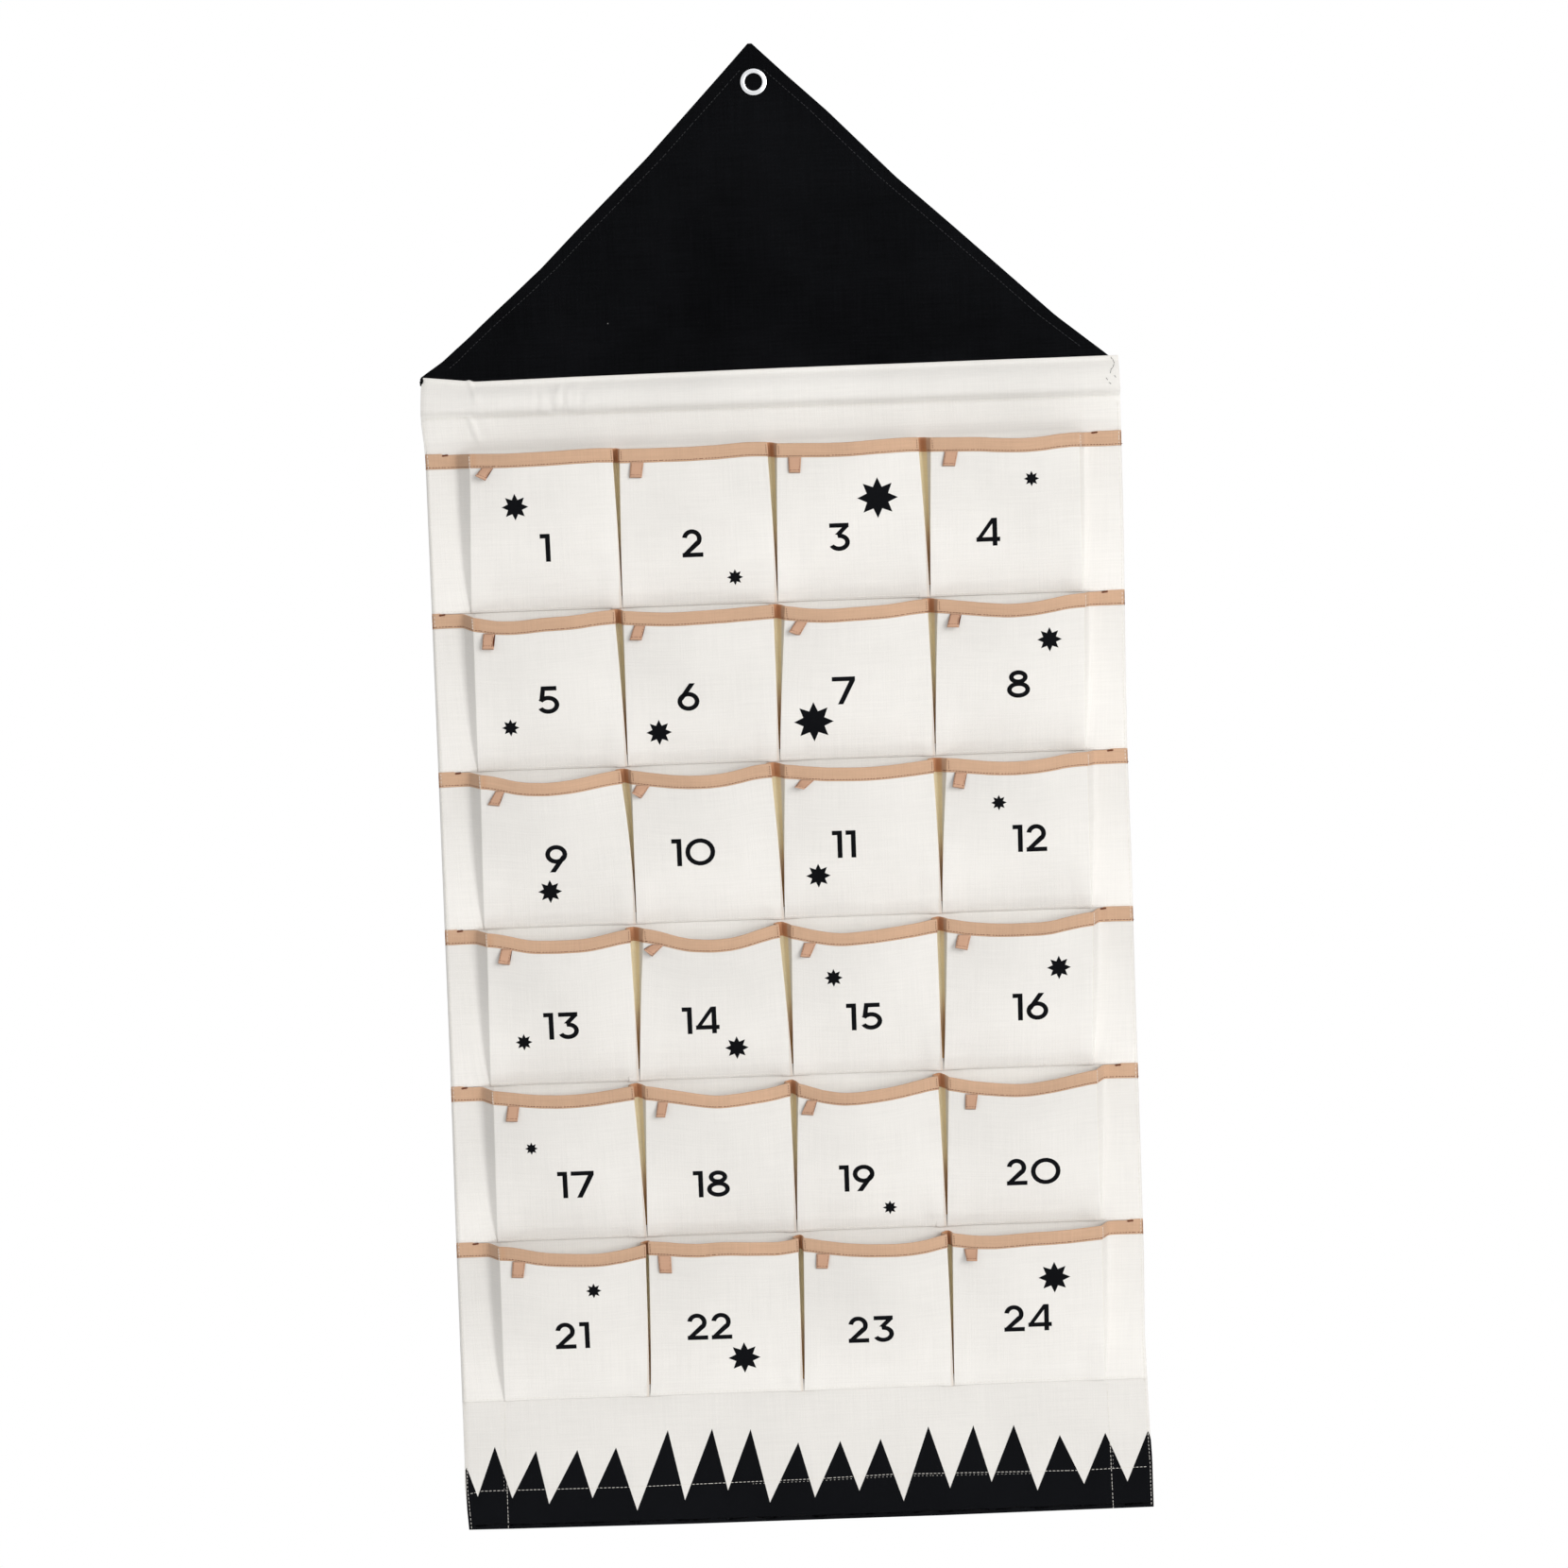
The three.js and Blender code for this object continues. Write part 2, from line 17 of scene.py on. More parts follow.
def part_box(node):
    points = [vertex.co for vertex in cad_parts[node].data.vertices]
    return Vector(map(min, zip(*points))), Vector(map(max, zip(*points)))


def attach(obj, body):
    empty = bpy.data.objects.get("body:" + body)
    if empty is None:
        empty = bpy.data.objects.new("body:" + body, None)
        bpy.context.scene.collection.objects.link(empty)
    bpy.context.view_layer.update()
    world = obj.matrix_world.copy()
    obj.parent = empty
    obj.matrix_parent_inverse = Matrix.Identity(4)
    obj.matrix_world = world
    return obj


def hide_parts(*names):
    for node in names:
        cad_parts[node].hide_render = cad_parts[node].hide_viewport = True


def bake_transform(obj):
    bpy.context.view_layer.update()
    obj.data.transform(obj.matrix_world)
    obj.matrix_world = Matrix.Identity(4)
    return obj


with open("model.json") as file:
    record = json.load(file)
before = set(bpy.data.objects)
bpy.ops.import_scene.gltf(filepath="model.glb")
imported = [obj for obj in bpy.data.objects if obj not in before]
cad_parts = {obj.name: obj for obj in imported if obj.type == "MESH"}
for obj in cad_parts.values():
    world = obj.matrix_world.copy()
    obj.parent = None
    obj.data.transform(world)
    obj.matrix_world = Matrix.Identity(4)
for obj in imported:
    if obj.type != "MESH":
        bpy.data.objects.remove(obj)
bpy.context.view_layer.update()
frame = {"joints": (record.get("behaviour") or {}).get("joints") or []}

# ---------------------------------------------------------------- Camera, light and floor
# A long lens three metres in front of the hanging, tilted down by four degrees. Soft light comes
# from the room all round, from a broad lamp in front, above and to the right, and from a weaker
# one behind.
lens_right = Vector((0.99937, -0.0025, -0.0355))
lens_up = Vector((0.0355, 0.0704, 0.9969))
lens_ahead = Vector((0.0, 0.99751, -0.07045))
camera_data = bpy.data.cameras.new("camera")
camera_data.lens = 95.28
camera_data.sensor_width = 36
camera_data.sensor_fit = "HORIZONTAL"
camera_data.clip_start = 0.1
camera_data.clip_end = 100
camera = bpy.data.objects.new("camera", camera_data)
turn = Matrix((lens_right, lens_up, -lens_ahead)).transposed()
camera.matrix_world = Matrix.Translation((0.0041, -2.9926, -0.2918)) @ turn.to_4x4()
bpy.context.scene.collection.objects.link(camera)
bpy.context.scene.camera = camera
bpy.context.scene.view_settings.view_transform = "Standard"


def plug_in(tree, made, inputs):
    """Give a shader node's inputs a value, a socket, or a node whose first output they take."""
    for name, value in inputs.items():
        if isinstance(value, bpy.types.Node):
            value = value.outputs[0]
        if isinstance(value, bpy.types.NodeSocket):
            tree.links.new(value, made.inputs[name])
        else:
            made.inputs[name].default_value = value


def node(tree, kind, *first_inputs, **named):
    """A shader node with what goes into its first inputs, its settings and its named inputs."""
    made = tree.nodes.new("ShaderNode" + kind)
    inputs = dict(enumerate(first_inputs))
    for name, value in named.items():
        if hasattr(made, name):
            setattr(made, name, value)
        else:
            inputs[name.replace("_", " ")] = value
    plug_in(tree, made, inputs)
    return made


def seen_directly(tree):
    """One where a ray from the camera, a mirror or a glass arrives, and nought elsewhere."""
    rays = node(tree, "LightPath").outputs
    first = node(tree, "Math", rays["Is Camera Ray"], rays["Is Glossy Ray"], operation="MAXIMUM")
    return node(tree, "Math", first, rays["Is Transmission Ray"], operation="MAXIMUM")


white = (1, 1, 1, 1)
room = bpy.data.worlds.new("room")
bpy.context.scene.world = room
room.use_nodes = True
tree = room.node_tree
tree.nodes.clear()
room_light = node(tree, "Background", Color=white, Strength=0.52)
room_white = node(tree, "Background", Color=white, Strength=1.0)
node(tree, "OutputWorld", node(tree, "MixShader", seen_directly(tree), room_light, room_white))


def broad_lamp(name, place, power):
    """A square lamp that faces the middle of the hanging."""
    data = bpy.data.lights.new(name, "AREA")
    data.shape = "SQUARE"
    data.size = 2.6
    data.energy = power
    lamp = bpy.data.objects.new(name, data)
    away = (Vector(place) - Vector((0, 0, -0.5))).normalized()
    turn = away.to_track_quat("Z", "Y").to_matrix().to_4x4()
    lamp.matrix_world = Matrix.Translation(place) @ turn
    bpy.context.scene.collection.objects.link(lamp)


broad_lamp("front_lamp", (2.3, -4.3, 0.55), 146)
broad_lamp("back_lamp", (-2.2, 4.3, 1.0), 90)

MM = 0.001


def finished_object(name, bm, finish, thickness=0.0):
    """The object of a mesh that is in its place. A thickness in mm lies behind its faces."""
    data = bpy.data.meshes.new(name)
    bm.to_mesh(data)
    bm.free()
    data.materials.append(finish)
    made = bpy.data.objects.new(name, data)
    bpy.context.scene.collection.objects.link(made)
    if thickness:
        wall = made.modifiers.new("thickness", "SOLIDIFY")
        wall.thickness = thickness * MM
        wall.offset = -1
        wall.use_even_offset = False
    return made


pale_floor = bpy.data.materials.new("pale_floor")
pale_floor.use_nodes = True
tree = pale_floor.node_tree
tree.nodes.clear()
floor_paint = node(tree, "BsdfDiffuse", Color=(0.86, 0.86, 0.86, 1))
floor_glow = node(tree, "Emission", Color=white, Strength=1.0)
here = node(tree, "TexCoord").outputs["Object"]
level_place = node(tree, "VectorMath", here, (1, 1, 0), operation="MULTIPLY")
from_middle = node(tree, "VectorMath", level_place, operation="LENGTH").outputs["Value"]
fade = node(
    tree, "MapRange", interpolation_type="SMOOTHSTEP", Value=from_middle, From_Min=0.34,
    From_Max=0.62,
)
seen_far = node(tree, "Math", fade, seen_directly(tree), operation="MULTIPLY")
node(tree, "OutputMaterial", node(tree, "MixShader", seen_far, floor_paint, floor_glow))
bm = bmesh.new()
bmesh.ops.create_grid(bm, x_segments=4, y_segments=4, size=12)
bmesh.ops.translate(bm, verts=bm.verts[:], vec=(0, 0, -1.25))
floor = finished_object("floor", bm, pale_floor)

# ---------------------------------------------------------------- Roof
# One piece of black canvas, cut to a tall gable. Its two sloping edges are turned to the back
# by 10 mm and stitched down, and its foot is caught in the seam along the top of the panel.


def shade(red, green, blue):
    """A colour of the finish from its values out of 255."""
    def linear(value):
        value /= 255
        return value / 12.92 if value <= 0.04045 else ((value + 0.055) / 1.055) ** 2.4
    return (linear(red), linear(green), linear(blue), 1)


def new_finish(name, **inputs):
    """A new material, its node tree and its surface with the named inputs."""
    made = bpy.data.materials.new(name)
    made.use_nodes = True
    surface = made.node_tree.nodes["Principled BSDF"]
    inputs = {key.replace("_", " "): value for key, value in inputs.items()}
    plug_in(made.node_tree, surface, inputs)
    return made, made.node_tree, surface


def woven(name, colour, thread, relief, uneven, fleck, tint=None, gloss=0.18, flecks=0.16):
    """Plain-woven cloth: warp and weft at a pitch, thick places in the yarn, and flecks.

    thread is the pitch and relief the height of the weave, both in metres. uneven is the share
    by which the colour wanders and by which the painted shade between the yarns deepens, fleck
    the colour of stray fibres and flecks how many there are. tint has the colour that the cloth
    is multiplied by for each attribute, where light and shade are painted on, and gloss is how
    much it shines.
    """
    cloth, tree, surface = new_finish(
        name, Roughness=0.92, Specular_IOR_Level=gloss, Sheen_Weight=gloss / 3
    )
    lie = node(tree, "UVMap", uv_map="cloth")
    thick_places = []
    for stretch in ((28, 900, 1), (1100, 22, 1)):
        run = node(tree, "Mapping", Vector=lie, Scale=stretch)
        slubs = node(tree, "TexNoise", Vector=run, Scale=1.0, Detail=3.0, Roughness=0.6)
        thick_places.append(slubs)
    slub = node(tree, "Math", *thick_places, operation="ADD")
    yarns = []
    for direction in "XY":
        wave = node(
            tree, "TexWave", wave_type="BANDS", bands_direction=direction, Vector=lie,
            Scale=0.31416 / thread, Distortion=1.2, Detail=1.0, Detail_Scale=0.4,
        )
        yarns.append(wave.outputs["Fac"])
    over = node(tree, "Math", *yarns, operation="MULTIPLY")
    height = node(tree, "Math", over, slub, operation="ADD")
    bump = node(tree, "Bump", Strength=0.45, Distance=relief, Height=height)
    wander = node(tree, "TexNoise", Vector=lie, Scale=9.0, Detail=4.0, Roughness=0.55)
    worn = node(tree, "Math", slub, 0.5, wander, operation="MULTIPLY_ADD")
    level = node(
        tree, "MapRange", Value=worn, From_Min=0.7, From_Max=1.3, To_Min=1 - uneven,
        To_Max=1 + uneven,
    )
    # The gaps between the yarns are painted darker and their crossings lighter: painted shade and
    # highlight of the weave.
    gaps = node(tree, "MapRange", Value=over, To_Min=1 - 1.6 * uneven, To_Max=1 + 0.6 * uneven)
    both = node(tree, "Math", level, gaps, operation="MULTIPLY")
    yarn_colour = node(tree, "VectorMath", colour[:3], operation="SCALE", Scale=both)
    spots = node(tree, "TexVoronoi", Vector=lie, Scale=42.0)
    small = node(tree, "Math", spots.outputs["Distance"], 0.016, operation="LESS_THAN")
    chance = node(tree, "SeparateXYZ", spots.outputs["Color"])
    rare = node(tree, "Math", chance, flecks, operation="LESS_THAN")
    here = node(tree, "Math", small, rare, operation="MULTIPLY")
    shown = node(tree, "Mix", data_type="RGBA", Factor=here, A=yarn_colour, B=fleck).outputs["Result"]
    for attribute, tinge in (tint or {}).items():
        where = node(tree, "Attribute", attribute_name=attribute).outputs["Fac"]
        painted_tint_mix = node(
            tree, "Mix", data_type="RGBA", blend_type="MULTIPLY", Factor=where, A=shown, B=tinge
        )
        shown = painted_tint_mix.outputs["Result"]
    plug_in(tree, surface, {"Base Color": shown, "Normal": bump})
    return cloth


def woven_sheet(name, widths, lengths, place, cloth, thickness, marks=None):
    """A sheet of cloth: a grid in its flat state, each crossing moved to its place.

    widths and lengths are the crossings' flat places in mm, and place gives each crossing's
    place in space in mm. marks has a function of the crossing for each attribute.
    """
    bm = bmesh.new()
    nx, ny = len(widths) - 1, len(lengths) - 1
    bmesh.ops.create_grid(bm, x_segments=nx, y_segments=ny, size=1)
    lie = bm.loops.layers.uv.new("cloth")
    crossings = {}
    layers = {key: bm.verts.layers.float.new(key) for key in (marks or {})}
    for vert in bm.verts:
        i, j = round((vert.co.x + 1) * nx / 2), round((vert.co.y + 1) * ny / 2)
        crossings[vert] = (i, j)
        vert.co = Vector(place(i, j)) * MM
        for key, layer in layers.items():
            vert[layer] = marks[key](i, j)
    for face in bm.faces:
        face.smooth = True
        for loop in face.loops:
            i, j = crossings[loop.vert]
            loop[lie].uv = (widths[i] * MM, lengths[j] * MM)
    return finished_object(name, bm, cloth, thickness)


def evenly(first, last, steps):
    """Places from first to last, with a number of equal steps between them."""
    return [first + (last - first) * k / steps for k in range(steps + 1)]


def between(table, x):
    """The value at x on straight lines between the table's points."""
    for (x0, y0), (x1, y1) in zip(table, table[1:]):
        if (x - x0) * (x - x1) <= 0:
            return y0 + (y1 - y0) * (x - x0) / (x1 - x0)
    return table[0][1] if abs(x - table[0][0]) < abs(x - table[-1][0]) else table[-1][1]


def eased(x, start, end):
    """Nought before start, one after end, with a smooth rise between them."""
    t = min(1.0, max(0.0, (x - start) / (end - start)))
    return t * t * (3 - 2 * t)


def ruffle(x, z, scale, seed):
    """Smooth irregular waves, about from -1 to 1."""
    return noise.noise(Vector((x / scale, z / scale, seed * 7.3)))


def hemmed_columns(hem_steps, hem_depth, fold, face):
    """A hemmed sheet's columns from left to right: the part, where on it, and how deep."""
    hem = [(k / hem_steps, hem_depth) for k in range(hem_steps)]
    columns = [("left", *spot) for spot in hem] + [("left_turn", *spot) for spot in fold]
    columns += [("face", *spot) for spot in face]
    columns += [("right_turn", *spot) for spot in reversed(fold)]
    return columns + [("right", *spot) for spot in reversed(hem)]


def hemmed_x(part, share, left, right, hem):
    """Where a column lies between the sheet's edges, with a hem of that width behind each."""
    fold = 0.3
    if part == "left":
        return left + fold + (hem - fold) * (1 - share)
    if part == "left_turn":
        return left + share
    if part == "right_turn":
        return right - share
    if part == "right":
        return right - fold - (hem - fold) * (1 - share)
    return left + fold + (right - left - 2 * fold) * share


# The CAD's seam is straight. The real one dips by nearly 3 mm near its left end.
cad_seam = -203.3
seam_line = [
    (-246, -201.9), (-226, -204.1), (-207, -206.2), (-141, -205.4), (-73, -204.8), (15, -204.1),
    (130, -203.8), (255, -203.4),
]
roof_left = [
    (-203, -246.3), (-190.9, -230.6), (-181.9, -221), (-166.2, -203.2), (-143.9, -176.4),
    (-126.6, -156.7), (-101.8, -131.5), (-50.6, -77.9), (5.6, -24), (27.4, -3.4),
]
roof_right = [
    (-203, 247.9), (-172.7, 210.2), (-138.4, 173.2), (-104.2, 136.3), (-70.6, 99.5), (-47.3, 76.6),
    (-22, 51.8), (5.3, 22.5), (27.4, -0.4),
]
roof_foot, roof_peak = -203.2, 27.4
roof_front, roof_hem_back, roof_hem_width = -0.4, 0.42, 14.0
hem_turn = [(0.3, 0.38), (0.06, 0.2), (0.0, 0.0), (0.06, -0.2), (0.3, -0.4)]
roof_rows = evenly(roof_foot, roof_peak, 72)
roof_across = 88
roof_face = [(k / roof_across, roof_front) for k in range(1, roof_across)]
roof_columns = hemmed_columns(3, roof_hem_back, hem_turn, roof_face)


def roof_place(i, j):
    """A crossing of the roof, drawn down at its foot to follow the seam."""
    part, share, y = roof_columns[i]
    z = roof_rows[j]
    left, right = between(roof_left, z), between(roof_right, z)
    x = hemmed_x(part, share, left, right, min(roof_hem_width, 0.44 * (right - left)))
    at_seam = 1 - eased(z, roof_foot, roof_foot + 16)
    wave = 0.22 * ruffle(x, z, 60, 1) + 0.10 * ruffle(x, z, 17, 2)
    wave += 0.12 * ruffle(x * 3, z, 26, 3) * at_seam
    dip = (between(seam_line, x) - cad_seam) * (1 - eased(z, roof_foot, roof_foot + 70))
    return x, y + wave * (0.4 if part != "face" else 1), z + dip


black_canvas = woven(
    "black_canvas", shade(23, 24, 27), 0.00055, 0.00024, 0.6, shade(150, 148, 146),
    gloss=0.03, flecks=0.4,
)
roof = woven_sheet(
    "roof_cloth", [0.0] * len(roof_columns), roof_rows, roof_place, black_canvas, 0.4
)
# The weave lies straight across the roof in front, and mirrored behind.
lie = roof.data.uv_layers["cloth"]
for loop in roof.data.loops:
    spot = roof.data.vertices[loop.vertex_index].co
    side = 1 if spot.y < 0.0002 else -1
    lie.data[loop.index].uv = (spot.x * side, spot.z)
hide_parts("roof_panel")
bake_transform(roof)

# The cloth's left corner is rolled up small. The seed gives it the same dents at each run,
# because noise vectors otherwise start from the clock.
noise.seed_set(7)
tip_half = 3.3
bm = bmesh.new()
bmesh.ops.create_uvsphere(bm, u_segments=20, v_segments=14, radius=1.0)
bmesh.ops.scale(bm, vec=(1.25, 1.15, tip_half), verts=bm.verts[:])
for vert in bm.verts:
    low = (tip_half - vert.co.z) / (2 * tip_half)
    x = -245.3 - 0.9 * low + 0.15 * math.sin(vert.co.z * 3)
    vert.co += Vector((x, -0.7, -204.6)) + 0.15 * noise.noise_vector(vert.co)
    vert.co *= MM
lie = bm.loops.layers.uv.new("cloth")
for face in bm.faces:
    face.smooth = True
    for loop in face.loops:
        loop[lie].uv = (loop.vert.co.x + 0.7 * loop.vert.co.y, loop.vert.co.z)
rolled_tip = finished_object("rolled_tip", bm, black_canvas)
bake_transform(rolled_tip)

# ---------------------------------------------------------------- Eyelet
# Two stamped and nickel-plated parts pressed together through the cloth: a domed flange with a
# barrel in front, and a flat ring behind that the end of the barrel is rolled over.
nickel, tree, plate = new_finish("nickel_plate", Metallic=1.0, Base_Color=(0.74, 0.75, 0.77, 1))
here = node(tree, "TexCoord").outputs["Object"]
wear = node(tree, "TexNoise", Vector=here, Scale=900.0, Detail=4.0)
dull = node(tree, "MapRange", Value=wear, To_Min=0.12, To_Max=0.32)
scuffs = node(tree, "Bump", Strength=0.15, Distance=0.00005, Height=wear)
plug_in(tree, plate, {"Roughness": dull, "Normal": scuffs})


def turned_metal(name, profile):
    """A ring spun about the Y axis from a closed outline of radius and place along Y, in mm."""
    bm = bmesh.new()
    ring = [bm.verts.new((radius * MM, y * MM, 0)) for radius, y in profile]
    edges = [bm.edges.new((ring[k], ring[(k + 1) % len(ring)])) for k in range(len(ring))]
    bmesh.ops.spin(
        bm, geom=ring + edges, cent=(0, 0, 0), axis=(0, 1, 0), angle=math.tau, steps=72,
        use_merge=True, use_duplicate=False, use_normal_flip=False,
    )
    bmesh.ops.remove_doubles(bm, verts=bm.verts[:], dist=0.000001)
    bmesh.ops.recalc_face_normals(bm, faces=bm.faces[:])
    for face in bm.faces:
        face.smooth = True
    return finished_object(name, bm, nickel)


def arc(radius, y, size, first, last, steps, squeeze=1.0):
    """Points on a round of an outline, by angle in degrees from straight outwards."""
    turns = [math.radians(angle) for angle in evenly(first, last, steps)]
    return [(radius + size * math.cos(a), y + squeeze * size * math.sin(a)) for a in turns]


flange_outline = arc(8.95, -0.95, 0.55, 90, -100, 10) + arc(7.3, -1.25, 0.9, -60, -130, 7, 0.9)
flange_outline += arc(6.95, -1.35, 0.75, -150, -180, 3) + [(6.2, -0.6), (6.2, 1.0)]
flange_outline += arc(6.85, 1.35, 0.65, 180, 20, 9)
flange_outline += [(7.3, 1.22), (6.75, 1.05), (6.65, 0.5), (6.65, -0.55), (6.85, -0.72)]
eyelet_front = turned_metal("eyelet_front", flange_outline)
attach(eyelet_front, "roof")
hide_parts("eyelet")
ring_outline = [(6.8, 0.5), (9.15, 0.5)] + arc(9.15, 0.72, 0.25, -60, 80, 6)
ring_outline += [(8.4, 1.08), (7.4, 1.0), (6.8, 1.0)]
eyelet_back = turned_metal("eyelet_back", ring_outline)
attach(eyelet_back, "roof")
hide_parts("eyelet_washer")

# ---------------------------------------------------------------- Panel
# One sheet of unbleached canvas. Its sides and foot are turned to the back by 28 mm, and its top
# is turned over and stitched 29 mm down, which makes a sleeve for the rod under the roof's seam.
# Its tints paint light and shade onto the canvas: a warm painted glow on the pleat walls, painted
# shade along their creases, and painted light on the lower fronts, on the panel behind the pockets'
# mouths and under the sleeve.
canvas = woven(
    "natural_canvas", shade(239, 236, 231), 0.00055, 0.00026, 0.062, shade(170, 156, 142),
    {
        "pleat": (1.14, 1.04, 0.78, 1), "painted_crease_shade": shade(206, 160, 100),
        "foot": (1.09, 1.09, 1.09, 1), "inside": (1.15, 1.16, 1.16, 1),
    },
)
panel_left = [
    (-203, -245.1), (-210, -246.2), (-235, -247.3), (-249, -246.0), (-262, -245.3), (-480, -245.3),
    (-700, -245.6), (-811, -246.4), (-922, -246.8), (-990, -247.0), (-1010, -247.6),
    (-1043, -245.6),
]
panel_right = [
    (-203, 254.6), (-240, 255.2), (-321, 255.0), (-400, 253.8), (-485, 252.8), (-566, 253.5),
    (-649, 253.4), (-774, 253.9), (-857, 254.0), (-913, 252.9), (-983, 254.6), (-1011, 255.8),
    (-1043, 255.9),
]
panel_foot = [(-246, -1041.9), (-215, -1042.3), (-80, -1043.3), (100, -1043.6), (256, -1042.8)]
cad_foot = -1042.3
panel_width, panel_middle, panel_hem = 500, 4.4, 28
flap_back, face_y, face_foot = 1.18, -0.5, -1041.46
sleeve_middle, sleeve_round, sleeve_stitch = -224.4, 7.1, -232.3


def added_up(gaps):
    """Places along a line, from nought, by the gaps between them."""
    return [0.0, *accumulate(gaps)]


def sleeve_arc(first, last, steps, side):
    """Points round the rod, by angle in degrees from straight up towards the front."""
    turns = [math.radians(angle) for angle in evenly(first, last, steps)]
    across, up = side * sleeve_round, sleeve_round
    return [(across * math.sin(a), sleeve_middle + up * math.cos(a)) for a in turns]


# The path goes down the foot's hem, round the foot, up the face, over the rod and down behind
# it to the stitch.
panel_path = [(flap_back, z) for z in evenly(-1014.3, face_foot, 7)[:-1]]
panel_path += [
    (0.34 + 0.84 * math.cos(a), face_foot - 0.84 * math.sin(a)) for a in evenly(0, math.pi, 8)[:-1]
]
for low, high, steps in ((face_foot, -946, 34), (-946, -258, 82), (-258, -240.4, 10)):
    panel_path += [(face_y, z) for z in evenly(low, high, steps)[:-1]]
panel_path += [
    (-0.58, -238.6), (-0.75, -236.8), (-1.0, -235.2), (-1.35, -233.8), (-1.8, -232.7),
    (-2.4, -231.85), (-3.3, -230.95), (-4.4, -229.95), (-5.45, -228.9), *sleeve_arc(118, 78, 7, -1),
    (-6.75, -219.6), (-6.3, -217.4), (-5.6, -215.2), (-4.75, -213.1), (-3.7, -211.0),
    (-2.5, -208.9), (-1.4, -207.3), (-0.8, -206.3), (-0.6, -205.5), (-0.7, -204.7),
    (-1.05, -204.0), (-0.9, -203.3), (-0.45, -203.0), (0.3, -202.95), (0.9, -203.3),
    (1.05, -204.0), (0.7, -204.7), (0.5, -205.6), (0.5, -207.0),
    *((6.53 - 5.9 * t, -221.6 + 13.8 * t) for t in (0.93, 0.8, 0.6, 0.4, 0.2)),
    *sleeve_arc(67, 128, 10, 1), (4.2, -229.75), (2.6, -230.75), (0.9, -231.75),
    (-0.1, sleeve_stitch), (0.05, -233.3), (0.5, -234.6), (0.95, -236.2),
]
panel_run = added_up(math.dist(a, b) for a, b in zip(panel_path, panel_path[1:]))
panel_front = next(k for k, (y, z) in enumerate(panel_path) if y == face_y and z > -1041.4)


def hump(x, middle, width):
    """A smooth rise about a middle, one at its top."""
    return math.exp(-(((x - middle) / width) ** 2))


def panel_spot(x, row, inward):
    """A point of the panel's face at a place along its path, laid inwards from it."""
    end = len(panel_path) - 1
    k = min(end - 1, int(row))
    t = row - k
    (y0, z0), (y1, z1) = panel_path[k], panel_path[k + 1]
    y, z = y0 + (y1 - y0) * t, z0 + (z1 - z0) * t
    before, after = panel_path[max(0, round(row) - 1)], panel_path[min(end, round(row) + 1)]
    along = Vector((after[0] - before[0], after[1] - before[1])).normalized()
    rise = 0.0
    if y < 0:
        rise += 0.16 * ruffle(x, z, 70, 4) + 0.05 * ruffle(x, z, 14, 5)
        # The sleeve is gathered along its stitches, and slack to the left of the rod.
        in_sleeve = eased(z, -232.0, -229.0) * (1 - eased(z, -212, -206))
        gather = 0.12 + 1.1 * hump(x, -148, 17) + 0.4 * hump(x, -205, 9)
        rise += in_sleeve * (0.1 + 1.1 * gather * ruffle(x, z * 0.25, 4.6, 6))
        rise -= 0.55 * (1 - eased(x, -212.5, -207.5)) * in_sleeve
        rise += 0.9 * hump(x - 0.3 * (-205 - z), -211, 1.6) * eased(z, -224, -214)
        # Two wrinkles hang down from the rod's left end.
        lean = x + 212.5 - 0.35 * (-231 - z)
        fall = eased(-z, 229, 234)
        rise += fall * 1.1 * hump(lean, 0, 2.2) * (1 - eased(-z, 242, 254))
        rise += fall * 0.35 * hump(lean, 10, 4) * (1 - eased(-z, 240, 252))
    spot = Vector((y, z)) + Vector((-along[1], along[0])) * (rise - inward)
    dip = (between(seam_line, x) - cad_seam) * eased(z, -222, -205)
    low = (between(panel_foot, x) - cad_foot) * (1 - eased(z, -1042, -960))
    return x, spot[0], spot[1] + dip + low


# The columns are finer where the wrinkles are.
face_places = [
    x for x in evenly(-245.0, 254.6, 118)[1:-1] if not (-221 < x < -195 or -171 < x < -121)
]
face_places += [-220.6 + 1.15 * k for k in range(23)] + [-170.4 + 1.45 * k for k in range(34)]
panel_columns = hemmed_columns(
    4, 0.82, [(0.3, 0.8), (0.06, 0.62), (0, 0.41), (0.06, 0.2), (0.3, 0.02)],
    [((x + 245.3) / panel_width, 0.0) for x in sorted(face_places)],
)


def panel_column(i, z):
    """Where a column of the panel lies at a height."""
    part, share, _ = panel_columns[i]
    return hemmed_x(part, share, between(panel_left, z), between(panel_right, z), panel_hem)


def panel_place(i, j):
    return panel_spot(panel_column(i, panel_path[j][1]), j, panel_columns[i][2])


def panel_flat(i):
    """A column's flat place from the middle of the eyelet, with the hems laid open."""
    part, share, inward = panel_columns[i]
    if part == "face":
        return -245.5 + panel_width * share
    side = -1 if part.startswith("left") else 1
    past_edge = panel_hem * (1 - share) if part in ("left", "right") else 0.8 - inward
    return panel_middle + side * (panel_width / 2 + past_edge)


first_mouth, row_pitch = -258.3, 114.5


def mouth_height(row):
    return first_mouth - row_pitch * row


def behind_mouth(i, j):
    """How much painted light the panel gets: most behind a pocket's mouth, and half as much under
    the sleeve.
    """
    y, z = panel_path[j]
    if y > 0 or z > -229:
        return 0.0
    if z > -249:
        return 0.5 - 0.25 * eased(-z, 233, 238)
    near = min(abs(z - mouth_height(row) + 7) for row in range(6))
    return (1 - eased(near, 7, 11)) if -214 < panel_column(i, z) < 225 else 0.0


panel = woven_sheet(
    "panel_cloth", [panel_flat(i) for i in range(len(panel_columns))], panel_run, panel_place,
    canvas, 0.4, {"inside": behind_mouth},
)
